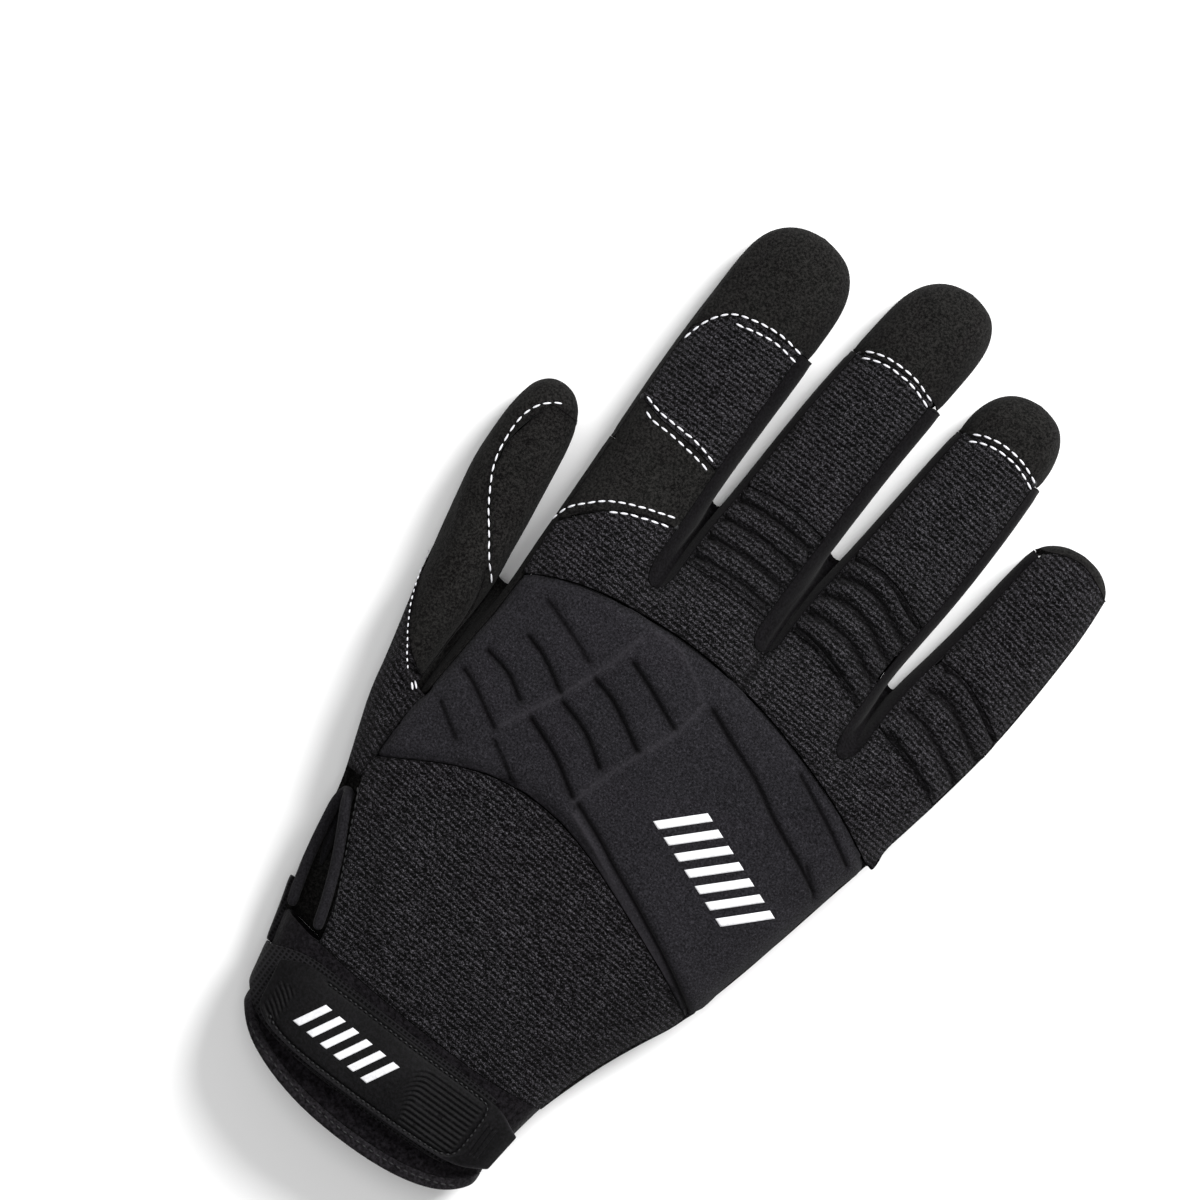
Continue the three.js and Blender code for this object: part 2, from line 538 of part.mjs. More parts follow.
const padUpper = seamLine(PAD_UPPER);
const padLower = seamLine(PAD_LOWER);
const cuffSeam = seamLine(CUFF_SEAM);
const cuffEnd = seamLine(CUFF_END);
const slitEdge = byLength(SLIT_EDGE, "x", across);
const EDGE_SEAM = 1.2 / 107 * PALM_WIDTH; // how far in from the hand's left edge the back's seam lies
const ROOT_SEAM = along(0.3881);
const ROOT_STEP = 4 / 253.3 * GLOVE_LENGTH;
const indexSeamX = (y) => section(index, y).x - section(index, y).half * index.seamLeft;
// The seam along the back's edge beside the thumb and on along the index finger
const edgeSeam = (y) => lerp(hand.left(y) + EDGE_SEAM, indexSeamX(y), smooth(FINGERS_LOW, FINGERS_HIGH, y));
const backLeft = (y) => {
  const past = smooth(ROOT_SEAM - ROOT_STEP, ROOT_SEAM - ROOT_STEP / 8, y);
  return lerp(slitEdge(y), edgeSeam(y), past) + SEAM_GAP / 2;
};

// The way out of the back at a point of it
function backOut(x, y) {
  const d = 0.4;
  const from = y < ROOT_SEAM || x < hand.left(y) ? hand.wide(y) : hand.left(y);
  const inside = clamp(x, from + 2 * d, hand.right(y) - 2 * d);
  const dx = (backHeight(inside + d, y) - backHeight(inside - d, y)) / (2 * d);
  const dy = (backHeight(inside, y + d) - backHeight(inside, y - d)) / (2 * d);
  return new THREE.Vector3(-dx, -dy, 1).normalize();
}

backSheet("back_knit", "knit", KNIT, 13, 8, backLeft, cuffSeam, padLower);

// The knuckle pad stands a little proud, with a doubled ridge along its lower seam and ribs at its end.
const PAD_PROUD = 0.6;
const PAD_RIDGE = 0.9;
const PAD_RIB = 0.7;
const mound = (v, place, width) => Math.exp(-Math.pow((v - place) / width, 2));
const padRelief = (u, v) => {
  const rim = smooth(0, 0.05, v) * smooth(0, 0.05, 1 - v) * smooth(0, 0.04, u);
  const ridges = PAD_RIDGE * mound(v, 0.09, 0.05) * smooth(0.35, 0.5, u);
  const ribs = PAD_RIB * (mound(v, 0.93, 0.04) + mound(v, 0.72, 0.04)) * smooth(0.5, 0.7, u);
  return PAD_PROUD * rim + (ridges + ribs) * smooth(0, 0.04, v) * smooth(0, 0.04, 1 - v);
};
backSheet("knuckle_pad", "neoprene", NEOPRENE, 15, 15, backLeft, padLower, padUpper, padRelief);

// Seam angles of one finger
const toDegrees = (angle) => angle * 180 / Math.PI;
const seamAngle = (share) => toDegrees(Math.acos(share));
const BEND_SHARE = 0.34; // radius of a finger's bend at its seams, as a share of its width
const gapAngle = (finger) => {
  const bend = (finger.right(finger.round) - finger.left(finger.round)) * BEND_SHARE;
  return toDegrees((SEAM_GAP / 2) / bend);
};

// The backs of the fingers run smoothly out of the hand.
function fingerTop(finger, degrees, y) {
  const p = fingerPoint(finger, degrees, y);
  const reach = smooth(FINGERS_LOW, FINGERS_HIGH, y);
  if (reach < 1) p.z = lerp(handBack(p.x, y, hand.left(y), hand.shoulder(y)), p.z, reach);
  return p;
}
function fingerBackSheet(name, look, wall, finger, nu, nv, lower, upper, relief = () => 0) {
  const from = 180 - seamAngle(finger.seamLeft) - gapAngle(finger);
  const to = seamAngle(finger.seamRight) + gapAngle(finger);
  const at = (u, v) => {
    const degrees = lerp(from, to, u);
    let y = finger.round;
    for (let k = 0; k < 6; k += 1) {
      const x = section(finger, y).x + section(finger, y).half * Math.cos(rad(degrees));
      y = lerp(lower(x, degrees) + SEAM_GAP / 2, upper(x, degrees) - SEAM_GAP / 2, v);
    }
    return fingerTop(finger, degrees, y);
  };
  const out = facing(at);
  sheet(name, look, { nu, nv, at: raised(at, out, relief), out, wall });
}

// Where a finger's cap starts: level over the back, dropping at its sides.
function capLine(finger) {
  return (x, degrees) => {
    const side = Math.cos(rad(degrees));
    if (finger.capSide === 0) return finger.capTop - finger.capDrop * side * side;
    const drop = Math.pow(clamp((finger.capSide * side + 0.05) / 1.05), 2.6);
    const fade = degrees > 180 ? Math.max(0, 1 - (degrees - 180) / 60) : 1;
    return finger.capTop - finger.capDrop * drop * fade;
  };
}

const bandLower = seamLine(INDEX_BAND_LOWER);
const bandUpper = seamLine(INDEX_BAND_UPPER);
fingerBackSheet("index_patch", "suede", SUEDE, index, 6, 5, bandLower, bandUpper);
fingerBackSheet("index_knit", "knit", KNIT, index, 6, 4, bandUpper, capLine(index));

const RIDGES = 4;
const ridgeRelief = (height) => (u, v) => height * Math.pow(Math.abs(Math.sin(v * RIDGES * Math.PI)), 0.7)
  * smooth(0, 0.16, u) * smooth(0, 0.16, 1 - u);
const middleFlexLower = seamLine(MIDDLE_FLEX_LOWER);
const middleFlexUpper = seamLine(MIDDLE_FLEX_UPPER);
const ringFlexLower = seamLine(RING_FLEX_LOWER);
const ringFlexUpper = seamLine(RING_FLEX_UPPER);
const littleFlexLower = seamLine(LITTLE_FLEX_LOWER);
const littleFlexUpper = seamLine(LITTLE_FLEX_UPPER);
const RIDGE_HEIGHT = 1.1;
const flexPad = (name, finger, lower, upper) => {
  fingerBackSheet(name, "neoprene", NEOPRENE, finger, 6, 8, lower, upper, ridgeRelief(RIDGE_HEIGHT));
};
flexPad("middle_flex_pad", middle, middleFlexLower, middleFlexUpper);
flexPad("ring_flex_pad", ring, ringFlexLower, ringFlexUpper);
flexPad("little_flex_pad", little, littleFlexLower, littleFlexUpper);
fingerBackSheet("middle_knit", "knit", KNIT, middle, 6, 4, middleFlexUpper, capLine(middle));
fingerBackSheet("ring_knit", "knit", KNIT, ring, 6, 4, ringFlexUpper, capLine(ring));
fingerBackSheet("little_knit", "knit", KNIT, little, 7, 6, littleFlexUpper, capLine(little));

// The knit between the knuckle pad and the fingers, with a tongue up each finger and a dip at each crotch
const CELLS_FINGER = 4;
const CELLS_DIP = 6;
const crotches = [INDEX_MIDDLE, MIDDLE_RING, RING_LITTLE].map((row) => ({
  back: along(row.back), palm: along(row.palm), turn: along(row.turn),
}));
function knitColumns() {
  const columns = [];
  fingers.forEach((finger, f) => {
    const tongueTop = [bandLower, middleFlexLower, ringFlexLower, littleFlexLower][f];
    const from = f === 0 ? { y: along(0.5736) } : { y: crotches[f - 1].back + crotches[f - 1].turn };
    const to = f === 3 ? { y: along(0.5618) } : { y: crotches[f].back + crotches[f].turn };
    const count = f === 3 ? CELLS_FINGER + 1 : CELLS_FINGER;
    for (let k = 0; k <= count; k += 1) {
      const t = f === 3 ? denseRight(k / count) : k / count;
      const sideLeft = 180 - seamAngle(finger.seamLeft) - gapAngle(finger);
      const sideRight = f === 3 ? 0 : seamAngle(finger.seamRight) + gapAngle(finger);
      const share = lerp(Math.cos(rad(sideLeft)), Math.cos(rad(sideRight)), t);
      columns.push({ finger, share, turnY: lerp(from.y, to.y, t), top: tongueTop, dip: false });
    }
    if (f < 3) {
      for (let k = 1; k < CELLS_DIP; k += 1) {
        columns.push({ dip: true, crotch: crotches[f], t: k / CELLS_DIP, after: f });
      }
    }
  });
  return columns;
}
const columns = knitColumns();
const columnX = (column, y) => {
  const s = section(column.finger, y);
  return s.x + s.half * column.share;
};
const isOn = (f) => (column) => !column.dip && column.finger === fingers[f];
const firstOf = (f) => columns.findIndex(isOn(f));
const lastOf = (f) => columns.findLastIndex(isOn(f));
const KNIT_ROWS = 2;
const TONGUE_ROWS = 2;
const knuckleAt = (u, v, i, j) => {
  const column = columns[i];
  const dipPlace = () => {
    const a = columns[lastOf(column.after)];
    const b = columns[firstOf(column.after + 1)];
    const angle = lerp(-90, 90, column.t);
    const xa = columnX(a, a.turnY);
    const xb = columnX(b, b.turnY);
    const x = (xa + xb) / 2 + (xb - xa) / 2 * Math.sin(rad(angle));
    const depth = (column.crotch.turn + SEAM_GAP / 2) * Math.cos(rad(angle));
    return new THREE.Vector2(x, lerp(a.turnY, b.turnY, column.t) - depth);
  };
  const turn = column.dip ? dipPlace() : new THREE.Vector2(columnX(column, column.turnY), column.turnY);
  let p;
  if (j <= KNIT_ROWS) {
    const x0 = turn.x;
    const atSeam = (y) => {
      if (i === 0) return edgeSeam(y) + SEAM_GAP / 2;
      return i === columns.length - 1 ? hand.right(y) : x0;
    };
    let bottom = padUpper(x0) + SEAM_GAP / 2;
    for (let k = 0; k < 6; k += 1) bottom = padUpper(atSeam(bottom)) + SEAM_GAP / 2;
    const y = lerp(bottom, turn.y, j / KNIT_ROWS);
    p = new THREE.Vector2(j === KNIT_ROWS && i !== 0 && i !== columns.length - 1 ? turn.x : atSeam(y), y);
  } else {
    const t = (j - KNIT_ROWS) / TONGUE_ROWS;
    const x = turn.x;
    let y = turn.y;
    for (let k = 0; k < 5 && !column.dip; k += 1) {
      y = lerp(turn.y, column.top(columnX(column, y)) - SEAM_GAP / 2, t);
    }
    p = new THREE.Vector2(column.dip ? x : columnX(column, y), y);
    if (i === 0) p.x = edgeSeam(y) + SEAM_GAP / 2;
    if (i === columns.length - 1) p.x = hand.right(y);
  }
  return new THREE.Vector3(p.x, p.y, backHeight(p.x, p.y));
};
const knuckleOut = (u, v, i, j) => {
  const p = knuckleAt(u, v, i, j);
  return i === columns.length - 1 ? new THREE.Vector3(1, 0, 0) : backOut(p.x, p.y);
};
sheet("knuckle_knit", "knit", {
  nu: columns.length - 1, nv: KNIT_ROWS + TONGUE_ROWS, at: knuckleAt, out: knuckleOut, wall: KNIT,
  keep: (i, j) => j < KNIT_ROWS || !(columns[i].dip || columns[i + 1].dip),
});

// A strip that runs down one side of a crotch, round its end and up the other side. Its legs are given by
// the distance along and by the share from the back's seam (0) to the palm's seam (1).
function crotchStrip(name, look, wall, crotch, legs, cells) {
  const { left, right, leftEnd, rightEnd } = legs;
  const TURN = cells.turn / (cells.turn + cells.left + cells.right);
  const split = cells.left / (cells.turn + cells.left + cells.right);
  const bend = (w) => lerp(crotch.back, crotch.palm, 1 - Math.pow(1 - w, 2));
  const reach = (w) => crotch.turn * (1 - 0.55 * Math.sin(w * Math.PI));
  const at = (u, v) => {
    const y0 = bend(v) + reach(v);
    if (u < split) return left(lerp(y0, leftEnd(v), Math.pow(1 - u / split, legs.even ? 1 : 1.15)), v);
    const past = (u - split - TURN) / (1 - split - TURN);
    if (past > 0) return right(lerp(y0, rightEnd(v), Math.pow(past, 1.15)), v);
    const angle = rad(lerp(-90, 90, (u - split) / TURN));
    const a = left(y0, v);
    const b = right(y0, v);
    const t = (Math.sin(angle) + 1) / 2;
    const p = a.clone().lerp(b, t);
    p.y = bend(v) + reach(v) * (1 - Math.cos(angle));
    const back = backHeight(p.x, p.y);
    const hold = 1 - smooth(0, 0.45, v);
    const level = lerp(a.z, b.z, t);
    p.z = lerp(level, Math.min(back, level + 4), hold * Math.cos(angle));
    return p;
  };
  const own = facing(at, 0.006);
  const out = (u, v) => {
    const p = at(u, v);
    const n = own(u, v);
    const off = u - split - TURN / 2;
    const near = legs.onHand && off > 0 ? 1 : 1 - smooth(TURN * 0.5, TURN * 1.2, Math.abs(off));
    const top = backOut(p.x, p.y);
    const m = n.clone().lerp(top, near * (1 - smooth(0, 0.35, v)));
    m.lerp(new THREE.Vector3(0, 0, -1), near * smooth(0.7, 1, v));
    return m.normalize();
  };
  sheet(name, look, { nu: cells.left + cells.turn + cells.right, nv: cells.down, at, out, wall });
}

// A finger's side is straight between FLAT degrees below and above its widest height.
const FLAT = 14;
function flatHeight(s, up) {
  const upper = s.shoulder + (s.top - s.shoulder) * Math.sin(rad(FLAT));
  const lower = s.under - (s.under - s.low) * Math.pow(Math.sin(rad(FLAT)), 2 / PALM_POWER);
  return lerp(lower, upper, (up + FLAT) / (2 * FLAT));
}

// Legs on the sides of two neighbouring fingers
function fingerLegs(a, b, share) {
  const rightTop = () => seamAngle(a.seamRight) - gapAngle(a);
  const leftTop = () => 180 - seamAngle(b.seamLeft) + gapAngle(b);
  const bottom = SEAM_BOTTOM - 1.2;
  const wallPoint = (finger, from, to, y, v) => {
    const degrees = lerp(from, to, v);
    const p = fingerPoint(finger, degrees, y);
    const s = section(finger, y);
    const off = Math.min(Math.abs(degrees), Math.abs(degrees - 180));
    if (off < FLAT) p.z = flatHeight(s, from < 90 ? degrees : 180 - degrees);
    const lift = fingerTop(finger, from, y).z - fingerPoint(finger, from, y).z;
    p.z += lift * (1 - smooth(0, 0.5, v));
    return p;
  };
  return {
    left: (y, v) => wallPoint(a, rightTop(), -bottom, y, v),
    right: (y, v) => wallPoint(b, leftTop(), 180 + bottom, y, v),
    leftEnd: share.leftEnd,
    rightEnd: share.rightEnd,
  };
}
const capEnd = (finger, degrees) => () => capLine(finger)(0, degrees) - SEAM_GAP / 2;
const stripCells = { left: 5, turn: 6, right: 5, down: 5 };
crotchStrip("index_middle_fourchette", "cloth", SIDE_CLOTH, crotches[0],
  fingerLegs(index, middle, { leftEnd: capEnd(index, 60), rightEnd: capEnd(middle, 180) }), stripCells);
crotchStrip("middle_ring_fourchette", "cloth", SIDE_CLOTH, crotches[1],
  fingerLegs(middle, ring, { leftEnd: capEnd(middle, 0), rightEnd: capEnd(ring, 180) }), stripCells);
crotchStrip("ring_little_fourchette", "cloth", SIDE_CLOTH, crotches[2],
  fingerLegs(ring, little, { leftEnd: capEnd(ring, 0), rightEnd: capEnd(little, 180) }), stripCells);

// Where the palm ends and the finger fronts start, across the hand
const PALM_END = [
  { x: -0.4393, y: 0.6881 }, { x: -0.3738, y: 0.6913 }, { x: -0.2804, y: 0.7055 }, { x: -0.1869, y: 0.7197 },
  { x: -0.1215, y: 0.7221 }, { x: -0.0374, y: 0.7315 }, { x: 0.0841, y: 0.741 }, { x: 0.1682, y: 0.7418 },
  { x: 0.243, y: 0.7236 }, { x: 0.3178, y: 0.7023 }, { x: 0.3925, y: 0.6826 }, { x: 0.4579, y: 0.6771 },
  { x: 0.5607, y: 0.6629 }, { x: 0.6729, y: 0.6502 },
];
const palmEnd = seamLine(PALM_END);

// A finger's front, which goes on round the whole tip as its cap
function fingerFront(name, finger, around, rows, start) {
  const { from, to, kept } = around;
  const right = seamAngle(finger.seamRight) + gapAngle(finger) + 360;
  const left = 180 - seamAngle(finger.seamLeft) - gapAngle(finger) + 360;
  const stops = [];
  const run = (a, b, n) => {
    for (let k = 0; k < n; k += 1) stops.push(lerp(a, b, k / n));
  };
  run(from, to, kept);
  if (to < right - 10) run(to, right, 2);
  else run(to, right, 1);
  run(right, left, around.back);
  if (from > 200) run(left, from + 360, 3);
  else run(left, from + 360, 1);
  stops.push(from + 360);
  const cells = stops.length - 1;
  const cap = capLine(finger);
  const place = (degrees, v) => {
    const b = rows.body / (rows.body + rows.cap);
    const edge = cap(0, within(degrees)) + SEAM_GAP / 2;
    let y = edge;
    if (v < b) {
      let first = start(finger.left(0)) + SEAM_GAP / 2;
      for (let k = 0; k < 6; k += 1) first = start(fingerPoint(finger, degrees, first).x) + SEAM_GAP / 2;
      y = lerp(first, edge, v / b);
    } else {
      const t = (v - b) / (1 - b);
      const knee = 0.34;
      const base = Math.max(finger.round, edge + 0.3);
      if (t < knee) y = lerp(edge, base, t / knee);
      else y = base + (finger.tip - base) * Math.sin(rad(90 * (t - knee) / (1 - knee)));
    }
    return y;
  };
  const angleOf = (u) => {
    const k = Math.min(Math.floor(u * cells + 1e-9), cells - 1);
    return lerp(stops[k], stops[k + 1], u * cells - k);
  };
  const at = (u, v) => {
    const degrees = angleOf(u);
    const y = place(degrees, v);
    const turned = within(degrees);
    const p = fingerPoint(finger, turned, y);
    const off = Math.min(turned, 360 - turned, Math.abs(turned - 180));
    if (off < FLAT) {
      const up = turned > 270 ? turned - 360 : turned;
      p.z = flatHeight(section(finger, y), up < 90 ? up : 180 - up);
    }
    return p;
  };
  const inner = facing(at, 0.003);
  const out = (u, v) => {
    if (v > 0.985) return new THREE.Vector3(0, 1, 0);
    const n = inner(u, Math.min(v, 0.97));
    const p = at(u, v);
    const s = section(finger, Math.min(p.y, finger.tip - 0.2));
    const away = new THREE.Vector3(p.x - s.x, 0, p.z - (s.top + s.low) / 2);
    return n.dot(away) < 0 ? n.negate() : n;
  };
  sheet(name, "suede", { nu: cells, nv: rows.body + rows.cap, at, out, wall: SUEDE, loop: true,
    keep: (i, j) => j >= rows.body || i < kept });
}
const frontRows = { body: 4, cap: 5 };
const FRONT = { from: 180 + SEAM_BOTTOM, to: 360 - SEAM_BOTTOM, kept: 5, back: 6 };
const INDEX_FROM = 180 - seamAngle(index.seamLeft) + gapAngle(index);
const LITTLE_TO = 360 + seamAngle(little.seamRight) - gapAngle(little);
fingerFront("index_front", index, { ...FRONT, from: INDEX_FROM, kept: 8 }, frontRows, palmEnd);
fingerFront("middle_front", middle, FRONT, frontRows, palmEnd);
fingerFront("ring_front", ring, FRONT, frontRows, palmEnd);
fingerFront("little_front", little, { ...FRONT, to: LITTLE_TO, kept: 7, back: 7 }, frontRows, palmEnd);

// The thumb: the seam on its back, its root and its inner panel
const thumbSeam = track(THUMB_SEAM, "y", "angle", along, (v) => v);
const thumbRoot = track(THUMB_ROOT, "angle", "y", (v) => v, along);
const thumbCap = along(0.6802);
function thumbPoint(degrees, y) {
  const p = fingerPoint(thumb, degrees, y);
  if (degrees <= 180) {
    const root = smooth(ROOT_LOW, ROOT_HIGH, y);
    if (root < 1) p.z = lerp(handBack(p.x, y, hand.wide(y), hand.leftShoulder(y)), p.z, root);
  }
  return p;
}
// The way out of the thumb
function thumbOut(degrees, y) {
  const a = thumbPoint(degrees - 2, y);
  const b = thumbPoint(degrees + 2, y);
  return new THREE.Vector3(b.z - a.z, 0, a.x - b.x).normalize();
}

// Columns round the thumb: the stitched edge runs straight between them.
const THUMB_CELLS = 12;
const THUMB_GAP = 1.8; // half of the seam's clearance, in degrees
const thumbColumn = (k) => {
  const first = thumbSeam(along(THUMB_CROTCH.back)) + THUMB_GAP;
  return first + (THUMB_BOTTOM - first) / THUMB_CELLS * k;
};
const thumbEdge = (degrees) => {
  const step = thumbColumn(1) - thumbColumn(0);
  const k = clamp(Math.floor((degrees - thumbColumn(0)) / step), 0, THUMB_CELLS - 1);
  const t = (degrees - thumbColumn(k)) / step;
  return lerp(thumbRoot(thumbColumn(k)), thumbRoot(thumbColumn(k + 1)), clamp(t));
};
{
  const kept = THUMB_CELLS;
  const other = 6;
  const body = 7;
  const cap = 4;
  const at = (u, v) => {
    const k = kept / (kept + other);
    const b = body / (body + cap);
    let y = thumb.round;
    let degrees = 0;
    for (let n = 0; n < 8; n += 1) {
      const seam = thumbSeam(Math.min(y, thumbCap)) + THUMB_GAP;
      degrees = u <= k ? lerp(seam, THUMB_BOTTOM, u / k) : lerp(THUMB_BOTTOM, seam + 360, (u - k) / (1 - k));
      const capStart = thumbCap + SEAM_GAP / 2;
      if (v < b) y = lerp(thumbRoot(degrees % 360) + SEAM_GAP / 2, capStart, v / b);
      else y = capStart + (thumb.tip - capStart) * Math.sin(rad(90 * (v - b) / (1 - b)));
    }
    return thumbPoint(degrees % 360, y);
  };
  const own = facing(at, 0.003);
  const out = (u, v) => {
    if (v > 0.985) return new THREE.Vector3(0, 1, 0);
    const n = own(u, Math.min(v, 0.97));
    const p = at(u, v);
    const s = section(thumb, Math.min(p.y, thumb.tip - 0.2));
    const away = new THREE.Vector3(p.x - s.x, 0, p.z - (s.top + s.low) / 2);
    return n.dot(away) < 0 ? n.negate() : n;
  };
  sheet("thumb_front", "suede", { nu: kept + other, nv: body + cap, at, out, wall: SUEDE, loop: true,
    keep: (i, j) => j >= body || i < kept });
}
{
  const { back, palm, turn } = THUMB_CROTCH;
  const crotch = { back: along(back), palm: along(palm), turn: along(turn) };
  const left = (y, v) => {
    const degrees = lerp(thumbSeam(y) - THUMB_GAP, THUMB_BOTTOM - 360 + THUMB_GAP, v);
    return degrees >= 0 ? thumbPoint(degrees, y) : fingerPoint(thumb, degrees + 360, y);
  };
  const right = (y, v) => {
    const edge = hand.left(y);
    const seam = edgeSeam(y);
    const n = backOut(seam, y);
    const inTop = Math.max(seam - n.z * SEAM_GAP * 0.5 - edge, 0.2);
    const zt = backHeight(seam, y) + n.x * SEAM_GAP * 0.5;
    const off = v < 0.5 ? inTop * Math.pow(1 - 2 * v, 2) : BOTTOM_SEAM * Math.pow(2 * v - 1, 2);
    const zb = palmHeight(edge + BOTTOM_SEAM, y);
    return new THREE.Vector3(edge + off, y, lerp(zt, zb, v));
  };
  const leftEnd = () => thumbCap - SEAM_GAP / 2;
  const rightEnd = () => palmEnd(hand.left(FINGER_START)) - SEAM_GAP / 2;
  crotchStrip("thumb_inner_panel", "suede", SUEDE, crotch,
    { left, right, leftEnd, rightEnd, even: true, onHand: true }, { left: 7, turn: 4, right: 7, down: 6 });
}

// The knit gusset at the thumb's root: rows run from the outer edge to the seam beside the hand, round
// the end of the crotch and up along the thumb's stitched edge.
const GUSSET_START = along(0.2886);
const GUSSET_END = along(0.4828);
// Clearances of the gusset's edge, in seam gaps: below the crotch, then beside the thumb and along it where
// the edge is steep and where it is not, and at the corners between
const GUSSET_GAPS = { crotch: 1.3, besideSteep: 3, beside: 1.7, alongSteep: 1.6, along: 0.8, corner: 0.3 };
const gussetRight = (() => {
  const arc = rad(10 / 31 * HAND_HEIGHT); // length of one degree round the thumb
  const points = [];
  const handEnd = along(0.3845);
  for (let k = 0; k <= 3; k += 1) {
    const y = lerp(GUSSET_START, handEnd, k / 3);
    points.push([backLeft(y) - SEAM_GAP, y]);
  }
  const end = along(THUMB_CROTCH.back);
  const turn = along(THUMB_CROTCH.turn);
  const a = thumbPoint(thumbSeam(end), end + turn).x;
  const b = edgeSeam(end + turn);
  points.push([(a + b) / 2, end - SEAM_GAP * GUSSET_GAPS.crotch]);
  points.push([lerp(a, b, 0.12) - SEAM_GAP, end + turn * 0.2]);
  for (let k = 0; k <= 6; k += 1) {
    const column = thumbColumn(k);
    const slope = (thumbRoot(column + 3) - thumbRoot(column - 3)) / 6 / arc;
    const beside = SEAM_GAP * (k > 3 ? GUSSET_GAPS.besideSteep : GUSSET_GAPS.beside);
    const degrees = column + beside * slope / Math.sqrt(1 + slope * slope) / arc;
    const y = thumbRoot(column) - SEAM_GAP * (k > 4 ? GUSSET_GAPS.alongSteep : GUSSET_GAPS.along);
    points.push([thumbPoint(degrees, y).x, y - SEAM_GAP * GUSSET_GAPS.corner * Math.min(k, 1)]);
  }
  return points;
})();
{
  const nv = gussetRight.length - 1;
  const nu = 5;
  const at = (u, v, i, j) => {
    const k = Math.min(Math.floor(v * nv + 1e-9), nv - 1);
    const t = v * nv - k;
    const xr = lerp(gussetRight[k][0], gussetRight[k + 1][0], t);
    const yr = lerp(gussetRight[k][1], gussetRight[k + 1][1], t);
    const yl = lerp(GUSSET_START, GUSSET_END, Math.pow(v, 0.8));
    const w = clamp((u - 1 / nu) / (1 - 1 / nu));
    const y = lerp(yl, yr, w);
    const x = lerp(hand.wide(y), Math.max(xr, hand.wide(y) + 0.4), lerp(w * w, w, 0.35));
    if (u <= 1 / nu) {
      const z = lerp(PALM_SHOULDER + SEAM_GAP / 2, backHeight(hand.wide(yl), yl), u * nu);
      return new THREE.Vector3(hand.wide(yl), yl, z);
    }
    return new THREE.Vector3(x, y, backHeight(x, y));
  };
  const out = (u, v, i, j) => {
    const p = at(u, v);
    const k = j - (nv - 6);
    if (u === 1 && k >= 0) return thumbOut(thumbColumn(k), p.y);
    const n = backOut(p.x, p.y);
    const side = new THREE.Vector3(-1, 0, 0);
    return n.lerp(side, 1 - smooth(1 / nu, 2 / nu, u)).normalize();
  };
  sheet("thumb_gusset", "knit", { nu, nv, at, out, wall: KNIT });
}

